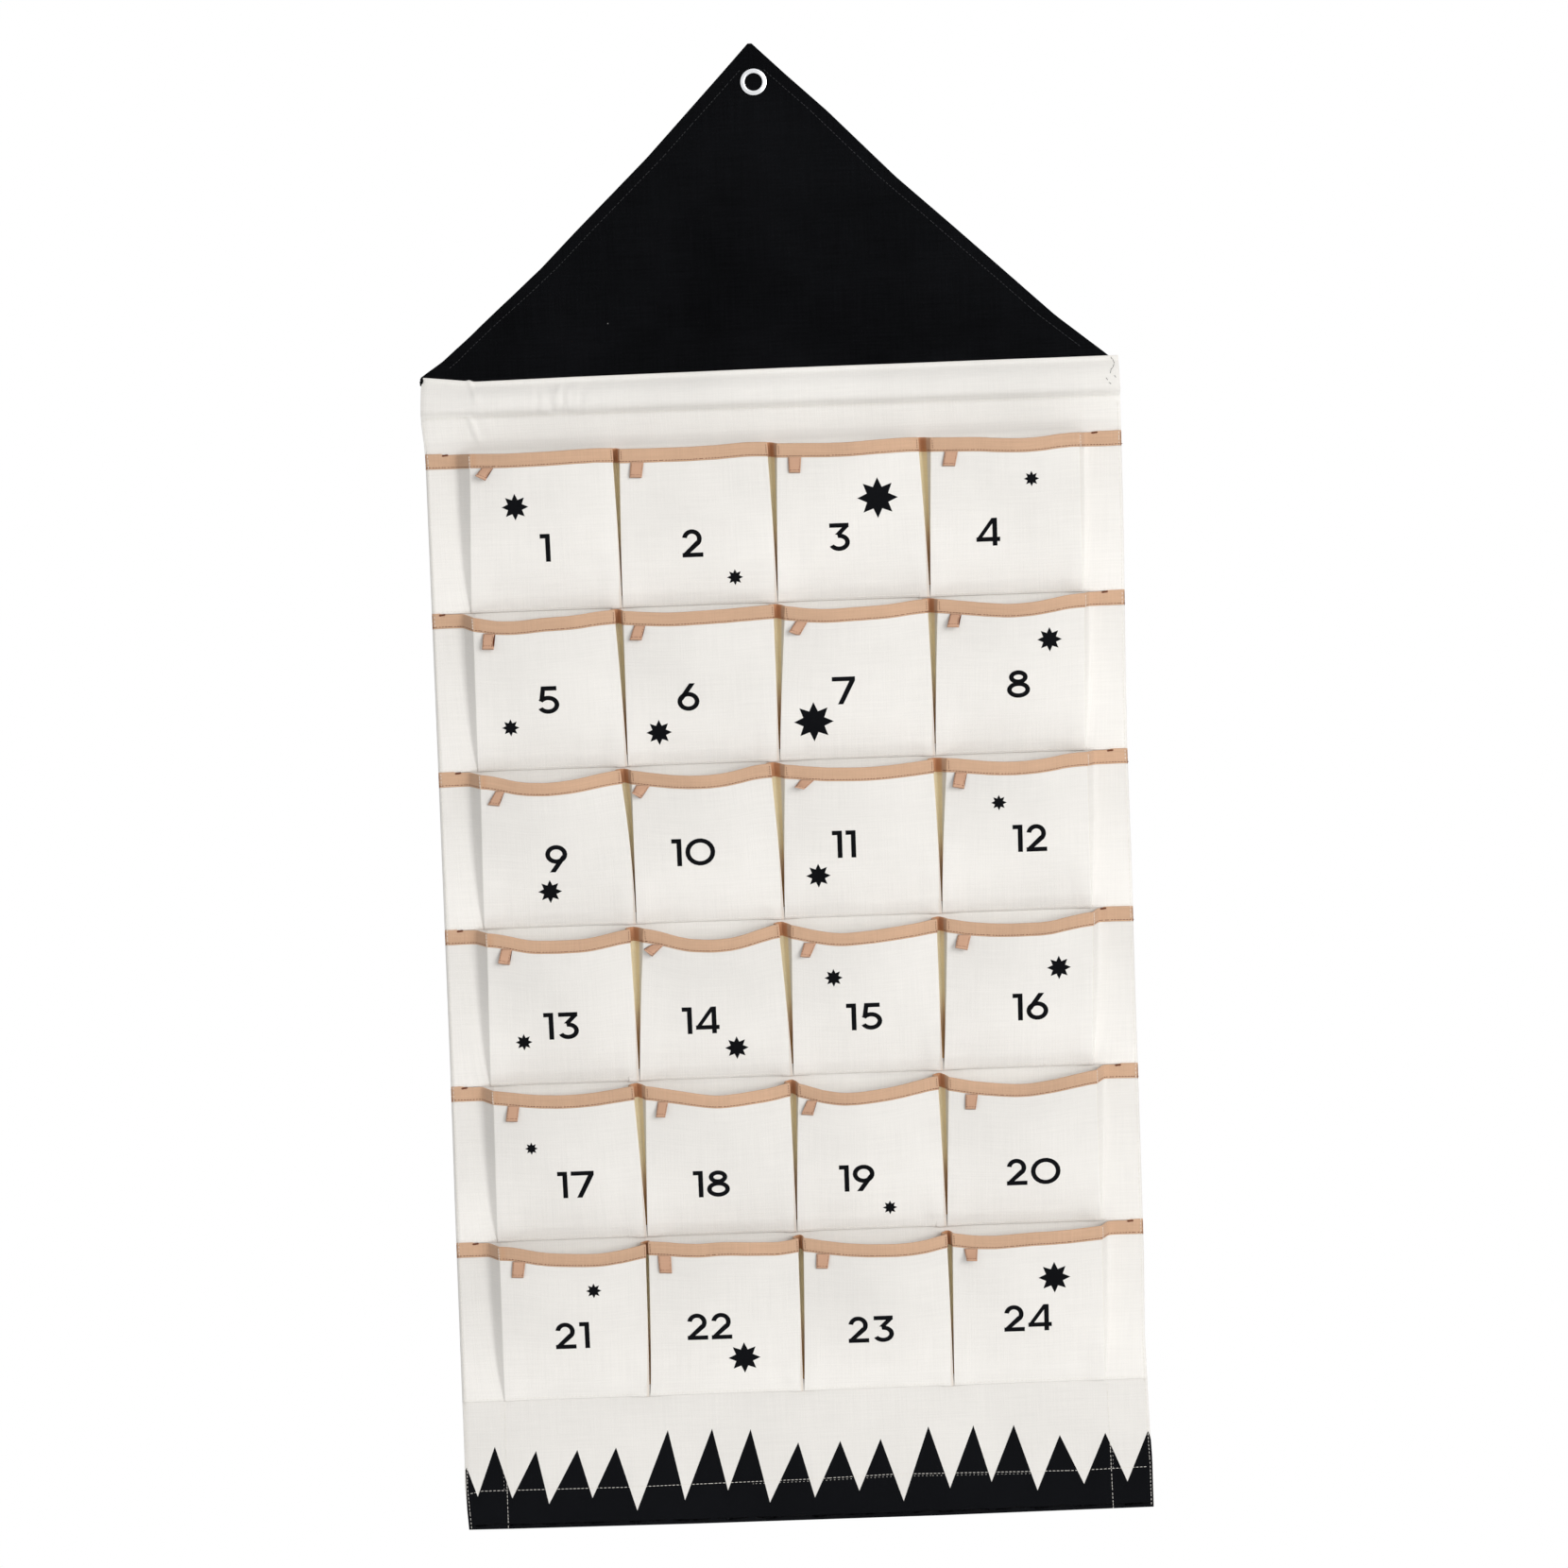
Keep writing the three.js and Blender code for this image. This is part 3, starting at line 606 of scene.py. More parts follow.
# The panel's back is the same canvas without the painted light of its face.
plain_canvas = canvas.copy()
plain_canvas.name = "natural_canvas_back"
for made in plain_canvas.node_tree.nodes:
    if getattr(made, "attribute_name", "") == "inside":
        made.attribute_name = "none"
panel.data.materials.append(plain_canvas)
panel.modifiers["thickness"].material_offset = 1
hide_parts("back_panel")
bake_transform(panel)

# ---------------------------------------------------------------- Rod
# A round beech rod, sawn to length with its ends just broken, pushed into the sleeve until it
# meets the stitched right end.
beech, tree, wood = new_finish("bare_beech", Roughness=0.62, Specular_IOR_Level=0.3)
here = node(tree, "TexCoord").outputs["Object"]
grain_run = node(tree, "Mapping", Vector=here, Scale=(6, 260, 260))
grain = node(tree, "TexNoise", Vector=grain_run, Scale=1.0, Detail=5.0, Distortion=0.6)
grain_colour = node(tree, "ValToRGB", grain)
dark, light = grain_colour.color_ramp.elements
dark.color, dark.position = shade(190, 152, 108), 0.3
light.color, light.position = shade(222, 192, 150), 0.7
grain_bump = node(tree, "Bump", Strength=0.2, Distance=0.0001, Height=grain)
plug_in(tree, wood, {"Base Color": grain_colour, "Normal": grain_bump})
rod_low, rod_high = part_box("hanging_rod")
rod_radius = 5.95 * MM
rod_middle = Matrix.Translation(((rod_low[0] + rod_high[0]) / 2, 0, sleeve_middle * MM))
bm = bmesh.new()
bmesh.ops.create_cone(
    bm, cap_ends=True, cap_tris=False, segments=48, radius1=rod_radius, radius2=rod_radius,
    depth=rod_high[0] - rod_low[0], matrix=rod_middle @ Matrix.Rotation(math.pi / 2, 4, "Y"),
)
rims = [edge for edge in bm.edges if any(len(face.verts) > 4 for face in edge.link_faces)]
bmesh.ops.bevel(
    bm, geom=rims, offset=0.0007, offset_type="OFFSET", segments=2, profile=0.5, affect="EDGES",
    material=-1,
)
for face in bm.faces:
    face.smooth = len(face.verts) == 4
rod = finished_object("beech_rod", bm, beech)
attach(rod, "rod")
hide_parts("hanging_rod")

# ---------------------------------------------------------------- Pocket strips
# Each row of pockets is one strip of the panel's canvas over its full width. It is stitched down
# along its foot and at the pocket boundaries, where a pleat lets each pocket stand open on top.
mouth_edges = [
    [-212.1, -110.3, -105.0, 0.4, 7.6, 108.4, 117.6, 223.6],
    [-214.6, -113.1, -106.9, 1.0, 9.3, 111.4, 118.9, 224.0],
    [-214.0, -113.5, -105.3, -5.2, 5.2, 111.5, 121.8, 222.3],
    [-213.8, -110.9, -100.9, -3.6, 5.7, 110.5, 118.0, 223.0],
    [-213.9, -112.8, -103.6, 0.3, 6.8, 107.5, 115.5, 221.8],
    [-214.1, -108.1, -106.0, 2.5, 6.3, 110.3, 114.4, 222.5],
]
seam_crossings = [
    [-216.9, -107.7, 4.2, 114.0, 224.2],
    [-216.8, -108.3, 1.6, 114.1, 222.4],
    [-217.0, -106.4, 0.9, 115.1, 223.5],
    [-216.9, -108.3, 3.2, 112.2, 221.1],
    [-216.5, -107.2, 2.0, 111.2, 223.6],
    [-216.0, -110.1, 2.6, 112.4, 222.9],
]
gap_closing = [
    [1.7, 1.5, 1.28],
    [1.35, 1.27, 1.5],
    [2.0, 1.45, 1.53],
    [1.36, 1.23, 0.82],
    [1.28, 1.45, 1.18],
    [0.5, 0.7, 1.38],
]
mouth_drops = [
    [[0.3, 0.9, 0.3, -0.1, -1.1], [0.5, 0.6, 0.6, -0.3, -1.7], [0.4, 1.2, 1.3, 0.3, -1.0],
     [0.2, 0.8, 2.5, 2.9, 0.1]],
    [[5.0, 6.4, 4.0, 3.9, 0.8], [2.5, 3.9, 3.3, 2.7, 1.3], [3.8, 5.5, 4.5, 3.9, 1.1],
     [1.9, 4.5, 6.4, 5.0, 0.8]],
    [[2.5, 7.8, 8.4, 6.4, 2.1], [3.4, 6.1, 7.1, 5.7, 0.5], [2.7, 4.6, 5.3, 4.4, 2.6],
     [1.7, 4.2, 5.1, 3.5, -0.1]],
    [[2, 7.6, 7.6, 7.6, 3.1], [3.5, 9.5, 11.4, 9.9, 3.5], [5.9, 9.9, 9.2, 6.7, 4.1],
     [4.5, 6.6, 7.4, 6.8, 2.2]],
    [[2.2, 4.9, 5.5, 5.0, 2.3], [3.2, 6.9, 10.3, 8.2, 5.3], [7.0, 11.6, 10.4, 7.8, 3.1],
     [5.2, 7.7, 9.8, 7.1, 2.9]],
    [[1, 5.7, 7.0, 7.7, 4.7], [0.9, 3.3, 2.1, 3.2, 4.1], [3.6, 6.6, 7.7, 8.4, 5.6],
     [4.2, 4.9, 3.1, 2.8, 1.5]],
]
strip_heights = [113.3, 113.3, 113.3, 113.3, 113.3, 116.2]
mouth_depth, mouth_bow, wall_length, strip_cloth = 15.0, 4.0, 16.8, 0.4
front_steps = 25


def mouth_drop(row, pocket, share):
    """How far the mouth hangs under the straight line of its tape's ends."""
    drops = mouth_drops[row][pocket]
    table = [(0, 0.4 * drops[0]), *zip((0.1, 0.3, 0.5, 0.7, 0.9), drops), (1, 0.4 * drops[4])]
    near = [between(table, min(1, max(0, share + k * 0.035))) for k in (-2, -1, 0, 1, 2)]
    return sum(near) / len(near)


def softened(points):
    """A line through points whose corners are rounded, with the same number of steps each time.

    Each point is a place, how far back from the corner its round starts, the steps on the
    straight before it and the steps round it.
    """
    here = points[0][0].copy()
    line = [here]
    for (before, *_), (corner, reach, straight_steps, round_steps), (after, *_) in zip(
        points, points[1:], points[2:]
    ):
        back, ahead = before - corner, after - corner
        start = corner + back.normalized() * min(reach, 0.45 * back.length)
        end = corner + ahead.normalized() * min(reach, 0.45 * ahead.length)
        line += [here.lerp(start, k / straight_steps) for k in range(1, straight_steps + 1)]
        for k in range(1, round_steps + 1):
            t = k / round_steps
            line.append(start * (1 - t) ** 2 + corner * 2 * t * (1 - t) + end * t * t)
        here = end
    last, _, straight_steps, _ = points[-1]
    return line + [here.lerp(last, k / straight_steps) for k in range(1, straight_steps + 1)]


def crumple(row, x, z, left, right, below):
    """Small dents of a pocket's front: broad ones, rays from its lower corners, gathers."""
    foot = strip_heights[row] - below
    rise = 0.42 * ruffle(x, z, 46, row + 10) + 0.12 * ruffle(x, z, 15, row + 20)
    for corner, side in ((left, 1), (right, -1)):
        away = math.hypot(x - corner, foot)
        angle = math.atan2(foot, abs(x - corner) + 0.01)
        wave = math.sin(angle * (7 + 2 * side) + row * 1.7 + corner * 0.13)
        rise += 0.3 * wave * math.exp(-away / 24) * eased(away, 3, 12)
    rise += 0.16 * ruffle(x, row * 31, 2.6, 3) * math.exp(-foot / 5)
    rise += 0.2 * ruffle(x, z * 0.3, 7, 8) * math.exp(-foot / 14)
    return rise * min(1, (x - left) / 7, (right - x) / 7) * (0.35 + 0.65 * eased(below, 6, 30))


def strip_section(row, below):
    """The strip's face across one row, a way below its mouth: x, y, z and how deep in a pleat."""
    height = strip_heights[row]
    v = min(1.0, below / height)
    top = mouth_height(row) - below
    base = -0.97 - 0.5 * (1 - eased(below, 11, 19)) - 0.42 * eased(below, height - 16, height - 9)
    depth = mouth_depth * (1 - v ** 1.35)
    layers = 0.95 * eased(v, 0.45, 0.95)
    seams, edges = seam_crossings[row], mouth_edges[row]
    # Each pleat closes at its own pace, and the two end folds close evenly.
    shut = [v, *(1 - (1 - v) ** power for power in gap_closing[row]), v]
    clear = [0.4, 0.2, 0.2, 0.2, 0.4]

    def at(x, y, drop=0.0, pleat=0.0):
        return Vector((x, min(y, base), top - drop * (1 - v), pleat))

    def front_y(x, left, right):
        bowed = mouth_bow * (1 - v) * math.sin(math.pi * (x - left) / (right - left))
        return base - depth - bowed - layers * (1 - eased(min(x - left, right - x), 6, 17))

    def creased(first, second, reach, pleat):
        """The fold of a pleat, half way between two corners and to one side, off the panel."""
        fold = (first + second) / 2 + Vector((reach, 0, 0, 0))
        fold[1], fold[3] = min(fold[1], base - 0.25), pleat
        return fold

    line = [(at(between(panel_left, top) + 0.15, base), 0, 0, 0)]
    first_foot = -222.8 + (seams[0] + 222.8) * v ** 4
    line.append((at(first_foot, base, 0, 0.1), 0.6 + 2.6 * (1 - v * v), 7, 5))
    for pocket in range(4):
        left, right = edges[2 * pocket], edges[2 * pocket + 1]
        left += (seams[pocket] + clear[pocket] - left) * shut[pocket]
        right += (seams[pocket + 1] - clear[pocket + 1] - right) * shut[pocket + 1]
        right_drop = mouth_drop(row, pocket, 1)
        left_corner = at(
            left, front_y(left, left, right), mouth_drop(row, pocket, 0), 0.1 if pocket else 0
        )
        right_corner = at(right, front_y(right, left, right), right_drop, 0.1 if pocket < 3 else 0)
        if pocket:
            reach = min(0.7, 0.1 * (left_corner - foot).length)
            line.append((creased(left_corner, foot, reach, 0.7), 3.0, 3, 3))
        line.append((left_corner, 0.5 - 0.2 * v, 3, 4))
        for k in range(front_steps + 1):
            x = left + 2 + (right - left - 4) * k / front_steps
            drop = mouth_drop(row, pocket, (x - left) / (right - left))
            y = front_y(x, left, right) - crumple(row, x, top, left, right, below)
            line.append((at(x, y, drop), 0, 1, 0))
        line.append((right_corner, 0.5 - 0.2 * v, 1, 4))
        if pocket < 3:
            near, far = edges[2 * pocket + 1: 2 * pocket + 3]
            middle = near + 0.6 + 0.12 * (far - near)
            middle += (seams[pocket + 1] - middle) * shut[pocket + 1]
            near_foot = at(middle - 0.9, base, right_drop, 1.0)
            foot = at(middle + 0.9, base, right_drop, 1.0)
            span = (right_corner - near_foot).length
            reach = -math.sqrt(max(0.2, wall_length ** 2 - span ** 2)) / 2
            line.append((creased(right_corner, near_foot, reach, 1.0), 1.6, 3, 3))
            line.append((near_foot, 0.7, 3, 2))
            line.append((foot, 0.7, 1, 2))
    last_foot = 228.2 + (seams[4] - 228.2) * v ** 2
    line.append((at(last_foot, base, 0, 0.3), 0.6 + 3.5 * (1 - v), 4, 5))
    line.append((at(between(panel_right, top) - 0.15, base), 0, 7, 0))
    return softened(line)


def tree_of(piece):
    """A piece's faces, for laying something on them."""
    faces = bmesh.new()
    faces.from_mesh(piece.data)
    made = BVHTree.FromBMesh(faces)
    faces.free()
    return made


strip_sections, strip_widths, strip_trees = [], [], []
turned_under = [(8.5, 0.84), (4.5, 0.84), (0.8, 0.84), (0.15, 0.68), (-0.18, 0.4), (-0.1, 0.1)]
rows_up = len(turned_under)
for row in range(6):
    height = strip_heights[row]
    downs = [0, 1, 2.2, 3.6, 5, 6.5, 8, 9.5, 11, 12.7, 14.5, 16.5]
    downs += [19 + (height - 31) * k / 25 for k in range(26)]
    downs += [height - 12 + 12 * k / 9 for k in range(1, 10)]
    sections = [strip_section(row, below) for below in downs]
    widths = added_up((b - a).xy.length for a, b in zip(sections[0], sections[0][1:]))
    lengths = [-height - 9 + 9 * j / rows_up for j in range(rows_up)]
    lengths += [-below for below in reversed(downs)]
    strip_sections.append((downs, sections))
    strip_widths.append(widths)

    def strip_place(i, j):
        """From the edge that is turned under at the foot, up to the mouth."""
        if j >= rows_up:
            return sections[rows_up - 1 - j][i].xyz
        up, back = turned_under[j]
        spot = sections[-1][i]
        return spot[0], min(spot[1] + back, -0.54), spot[2] + up

    def level(j):
        """How far down a row of crossings is, from nought at the mouth to one at the foot."""
        return 1.0 if j < rows_up else downs[rows_up - 1 - j] / height

    # A warm glow of painted light on the pleat walls, fading out towards the foot.
    def in_pleat(i, j):
        return sections[0][i][3] * (1 - eased(level(j), 0.5, 0.85))

    # Painted shade along the pleats' creases, lower down.
    def in_crease(i, j):
        return max(0.0, sections[0][i][3] - 0.35) * 1.5 * eased(level(j), 0.45, 0.8)

    # Painted light on the lower part of each front, growing towards the foot.
    def near_foot_of_strip(i, j):
        return eased(level(j), 0.2, 0.95)

    strip = woven_sheet(
        f"pocket_strip_cloth_{row + 1}", widths, [row * 131 + length for length in lengths],
        strip_place, canvas, strip_cloth,
        {"pleat": in_pleat, "painted_crease_shade": in_crease, "foot": near_foot_of_strip},
    )
    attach(strip, "banner")
    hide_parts(f"pocket_strip_{row + 1}")
    strip_trees.append(tree_of(strip))

# ---------------------------------------------------------------- Bindings
# Tan cotton tape, 20 mm wide, folded lengthwise over the mouth edge of each strip and stitched
# close to its lower edge. It follows the pleats and is turned in double at both ends.
# In the pleats and in its tuck at the left end the tape is multiplied darker: painted shade.
tan_tape = woven(
    "tan_tape", shade(215, 177, 147), 0.0007, 0.00022, 0.13, shade(160, 118, 92),
    {"pleat": shade(250, 224, 200)},
)
tape_cloth, tape_gap, tape_depth = 0.35, 0.03, 9.5
tape_turns = [
    (-231.7, 235.0), (-238.5, 239.0), (-231.7, 239.5), (-235.0, 231.0), (-236.4, 238.3),
    (-233.0, 243.8),
]
tape_front = tape_gap + tape_cloth
tape_back = strip_cloth + tape_gap + tape_cloth
stitch_below = 8.3
# From the front's lower edge over the fold: way below the mouth, way above it, way out from
# the strip's face.
tape_rows = [(tape_depth, 0, tape_front), (8.9, 0, tape_front), (stitch_below, 0, tape_front - 0.1)]
tape_rows += [(7.7, 0, tape_front), (6.2, 0, tape_front + 0.06), (4.4, 0, tape_front + 0.1)]
tape_rows += [(2.6, 0, tape_front + 0.1), (1.0, 0, tape_front + 0.06), (0, 0.1, tape_front)]
tape_rows += [(0, 0.52, 0.2), (0, 0.74, -0.2), (0, 0.5, -0.62), (0, 0.1, -tape_back)]
tape_rows += [(below, 0, -tape_back) for below in (1.0, 3.5, 6.5, tape_depth)]
tape_run = added_up(
    math.hypot(d1 - up1 - d0 + up0, 0.7 * (out1 - out0))
    for (d0, up0, out0), (d1, up1, out1) in zip(tape_rows, tape_rows[1:])
)


def facing(section, i):
    """The way that the cloth faces at a station of its section, seen from above."""
    before, after = section[max(0, i - 1)], section[min(len(section) - 1, i + 1)]
    way = Vector((after[1] - before[1], before[0] - after[0]))
    return way.normalized() if way.length > 1e-6 else Vector((0, -1))


def strip_spot(row, i, below):
    """The strip's face at a station, a way below its mouth."""
    downs, sections = strip_sections[row]
    k = next(n for n in range(1, len(downs)) if downs[n] >= below)
    t = (below - downs[k - 1]) / (downs[k] - downs[k - 1])
    return sections[k - 1][i].lerp(sections[k][i], t)


tape_stitch_lines, tape_trees = [], []
for row in range(6):
    top_section = strip_sections[row][1][0]
    widths = strip_widths[row]
    turned_left, turned_right = tape_turns[row]

    def tape_place(i, j):
        below, up, out = tape_rows[j]
        spot = strip_spot(row, i, below)
        way = facing(top_section, i)
        x, y = spot[0] + way[0] * out, spot[1] + way[1] * out
        ripple = 0.12 * ruffle(spot[0], row * 9, 5, 12) + 0.2 * ruffle(spot[0], row * 9, 21, 13)
        doubled = eased(-spot[0], -turned_left, -turned_left + 0.9)
        doubled += eased(spot[0], turned_right, turned_right + 0.9)
        lift = 0.75 * doubled * (1 - eased(below, 0, 6))
        return x, min(y, -0.56) - (0.3 * doubled if out > 0 else 0), spot[2] + up + ripple + lift

    # Painted shade: how much the tape is darkened in the pleats and in its tuck at the left end.
    def tape_in_pleat(i, j):
        x, y, _, pleat = top_section[i]
        tuck = mouth_edges[row][0] + 0.7 < x < mouth_edges[row][0] + 5.5 and y < -8
        return max(pleat * 0.9, 0.3 if tuck and tape_rows[j][2] > 0 else 0.0)

    binding = woven_sheet(
        f"tape_{row + 1}", widths, [row * 40 + run for run in tape_run], tape_place, tan_tape,
        tape_cloth, {"pleat": tape_in_pleat},
    )
    stitch_row = next(j for j, (below, _, _) in enumerate(tape_rows) if below == stitch_below)
    tape_stitch_lines.append([
        (Vector(tape_place(i, stitch_row)), spot[3] < 0.3) for i, spot in enumerate(top_section)
    ])
    tape_trees.append(tree_of(binding))
    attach(binding, "banner")
    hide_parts(f"binding_{row + 1}")

# ---------------------------------------------------------------- Tape loops
# A short length of the same tape for each pocket, folded into a loop and caught in the lower
# edge of the binding near the pocket's left. Handling has leaned and curled most of them.
loop_corners = [
    ((-203.8, -267.3), (-195.3, -267.5), (-208.4, -273.4), (-201.6, -277.2)),
    ((-97.6, -266.4), (-88.1, -266.7), (-98.7, -278.8), (-89.9, -279.1)),
    ((15.1, -266.7), (24.6, -267.0), (15.3, -279.5), (23.4, -279.8)),
    ((127.2, -265.9), (136.6, -266.3), (125.1, -278.7), (134.2, -279.0)),
    ((-207.7, -386.3), (-198.9, -386.6), (-208.8, -397.7), (-200.4, -398.0)),
    ((-99.3, -383.4), (-91.2, -383.7), (-103.1, -394.7), (-94.3, -395.0)),
    ((16.4, -384.1), (25.2, -384.4), (11.3, -392.7), (18.7, -396.4)),
    ((127.4, -384.0), (135.5, -384.3), (124.4, -393.4), (133.1, -393.7)),
    ((-203.4, -498.7), (-196.7, -499.0), (-210.0, -510.4), (-202.0, -512.7)),
    ((-102.3, -497.9), (-92.1, -498.3), (-105.2, -503.9), (-99.3, -508.9)),
    ((15.8, -498.0), (25.9, -498.4), (11.5, -504.0), (18.2, -506.0)),
    ((127.0, -497.9), (135.9, -498.2), (124.7, -508.1), (133.1, -510.1)),
    ((-204.0, -613.0), (-195.8, -613.3), (-206.4, -623.8), (-198.4, -626.2)),
    ((-95.2, -614.8), (-86.3, -615.1), (-100.7, -617.3), (-95.5, -623.0)),
    ((14.3, -616.0), (23.2, -616.3), (11.2, -626.8), (18.0, -628.4)),
    ((125.3, -615.2), (134.8, -615.5), (122.9, -624.0), (131.7, -626.3)),
    ((-203.8, -727.2), (-195.3, -727.5), (-205.6, -739.1), (-197.1, -739.4)),
    ((-95.4, -728.6), (-87.9, -728.9), (-97.1, -739.6), (-90.3, -739.8)),
    ((12.4, -730.4), (19.9, -730.7), (7.9, -742.0), (16.0, -744.3)),
    ((127.0, -729.8), (135.9, -730.1), (126.6, -742.5), (134.1, -742.7)),
    ((-204.9, -841.2), (-195.4, -841.6), (-206.1, -854.3), (-197.6, -854.6)),
    ((-99.6, -841.6), (-90.0, -841.9), (-98.7, -854.7), (-89.8, -855.1)),
    ((15.3, -842.2), (24.9, -842.6), (14.8, -855.7), (23.0, -856.0)),
    ((122.3, -843.0), (132.2, -843.3), (123.8, -851.7), (131.3, -852.0)),
]
open_loops = {1: 0.9, 5: 1.5, 6: 0.7, 8: 1.5, 9: 0.5, 12: 0.6, 13: 0.7, 19: 0.6}
# The loops' tape is a darker copy of the binding's tape: painted shade.
loop_tape_painted_shade = woven(
    "loop_tape_painted_shade", shade(205, 163, 136), 0.0007, 0.00014, 0.07, shade(160, 118, 92),
    {"inside": shade(120, 84, 66)},
)
loop_leaves = []
hinges = {joint["name"]: joint for joint in frame["joints"]}
loop_length, loop_width, loop_flat = 12.6, 8.5, 27
loop_steps, loop_across = 22, 6
pocket_width = 103


def curl_for(share):
    """The angle that a strip has to curl by, for its drop to be that share of its length."""
    low, high = 0.01, 3.0
    for _ in range(30):
        middle = (low + high) / 2
        low, high = (middle, high) if math.sin(middle) / middle > share else (low, middle)
    return low


for number, corners in enumerate(loop_corners, 1):
    row, pocket = divmod(number - 1, 4)
    top_left, top_right, foot_left, foot_right = (Vector(corner) for corner in corners)
    hinge = Vector(hinges[f"tab_{number:02d}_lift"]["pos_m"]) / MM
    from_edge = (top_left.x + top_right.x) / 2 - mouth_edges[row][2 * pocket]
    drop = mouth_drop(row, pocket, from_edge / pocket_width)
    tape_foot = mouth_height(row) - drop - tape_depth
    shift = tape_foot + 0.4 - (top_left.y + top_right.y) / 2

    def loop_place(i, j):
        """Down the back leaf, round the open foot and up the front leaf."""
        s = i / loop_across
        around = j / loop_steps
        t = 1 - abs(2 * around - 1)
        above = top_left.lerp(top_right, s)
        below = foot_left.lerp(foot_right, s)
        way = (below - above).normalized()
        curl = curl_for(min(0.998, (below - above).length / loop_length))
        turn = curl * t
        stand_off = open_loops.get(number, 0)
        swell = (0.5 + stand_off) * math.sin(math.pi * min(1, t * 1.02)) ** 0.8
        swell += 0.45 * math.sin(math.pi * t * 0.5) * (1 if t < 0.97 else 0.6)
        in_front = around > 0.5
        out = 0.36 + swell if in_front else -0.05
        along = loop_length * math.sin(turn) / curl - out * math.sin(turn)
        forward = 0.42 + loop_length * (1 - math.cos(turn)) / curl + out * math.cos(turn)
        spot = above + way * along
        aside = 0.9 * stand_off * s * math.sin(math.pi * t) ** 0.5 if in_front else 0.0
        return spot.x - aside, -forward, spot.y + shift * (1 - t)

    def loop_on_cloth(i, j):
        x, y, z = loop_place(i, j)
        start = Vector((x, -60, min(z, hinge.z + 0.2))) * MM
        hit = strip_trees[row].ray_cast(start, Vector((0, 1, 0)))[0]
        face = hit.y / MM if hit is not None else hinge.y + 1.5
        return x, face + y, z

    # Painted shade on the inside of each loop's back leaf.
    def inside_loop(i, j):
        return 1.0 if j < loop_steps / 2 - 2 else 0.0

    loop = woven_sheet(
        f"tape_loop_{number:02d}", [loop_width * i / loop_across for i in range(loop_across + 1)],
        [number * 31 + loop_flat * j / loop_steps for j in range(loop_steps + 1)],
        loop_on_cloth, loop_tape_painted_shade, 0.3, {"inside": inside_loop},
    )
    leaves = [
        [Vector(loop_on_cloth(i, j)) for j in range(loop_steps // 2 + 1, loop_steps)]
        for i in (0.55, 5.45)
    ]
    leaves.append([Vector(loop_on_cloth(i / 2, loop_steps // 2 + 2)) for i in range(1, 12)])
    loop_leaves.append(leaves)
    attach(loop, f"tab_{number:02d}")
    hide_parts(f"tab_{number:02d}")

# ---------------------------------------------------------------- Numbers, stars and firs
# Printed on the cloth in one flat black before it was sewn: plain numbers, eight-pointed stars
# and, along the foot, a row of fir tops that goes round under the bottom hem.
ink = woven(
    "black_print", shade(18, 19, 22), 0.00055, 0.00012, 0.2, shade(52, 52, 54), gloss=0.04
)
digit_height, digit_gap, stroke, flat_stroke, spread = 19.7, 0.15, 0.158, 0.147, 0.007


def bar(*corners):
    """A straight stroke between two edges: the places of its four corners in digit heights."""
    return ("bar", corners)


def bow(*oval):
    """A stroke round an oval: its middle, its two radii, and from and to which angle."""
    return ("bow", oval)


digits = {
    "0": (1.08, [bow(0.54, 0.5, 0.54, 0.5, 0, 360)]),
    "1": (0.35, [
        bar((0.19, 1), (0.35, 1), (0.19, 0), (0.35, 0)),
        bar((0, 1), (0.2, 1), (0, 0.853), (0.2, 0.853)),
    ]),
    "2": (0.74, [
        bow(0.355, 0.665, 0.35, 0.335, 172, -38),
        bar((0.5, 0.575), (0.631, 0.459), (0.0, 0.1), (0.2, 0.1)),
        bar((0, 0.147), (0.74, 0.147), (0, 0), (0.74, 0)),
    ]),
    "3": (0.77, [
        bar((0.05, 1), (0.74, 1), (0.05, 0.853), (0.74, 0.853)),
        bar((0.53, 0.87), (0.74, 0.87), (0.25, 0.6), (0.44, 0.58)),
        bow(0.385, 0.31, 0.385, 0.31, 100, -152),
    ]),
    "4": (0.85, [
        bar((0.588, 1), (0.746, 1), (0.588, 0), (0.746, 0)),
        bar((0, 0.303), (0.85, 0.303), (0, 0.157), (0.85, 0.157)),
        bar((0.56, 1), (0.66, 0.92), (0.0, 0.24), (0.15, 0.24)),
    ]),
    "5": (0.8, [
        bar((0.17, 1), (0.72, 1), (0.17, 0.853), (0.72, 0.853)),
        bar((0.17, 1), (0.32, 1), (0.09, 0.47), (0.25, 0.47)),
        bow(0.4, 0.325, 0.4, 0.325, 148, -152),
    ]),
    "6": (0.79, [
        bow(0.395, 0.341, 0.395, 0.341, 0, 360),
        bar((0.45, 1), (0.645, 1), (0.03, 0.43), (0.19, 0.39)),
    ]),
    "7": (0.83, [
        bar((0, 1), (0.83, 1), (0, 0.853), (0.83, 0.853)),
        bar((0.64, 0.86), (0.83, 0.86), (0.2, 0), (0.38, 0)),
    ]),
    "8": (0.83, [
        bow(0.415, 0.292, 0.415, 0.292, 0, 360), bow(0.415, 0.756, 0.335, 0.244, 0, 360),
    ]),
    "9": (0.79, [
        bow(0.395, 0.659, 0.395, 0.341, 0, 360),
        bar((0.6, 0.61), (0.76, 0.57), (0.145, 0), (0.34, 0)),
    ]),
}
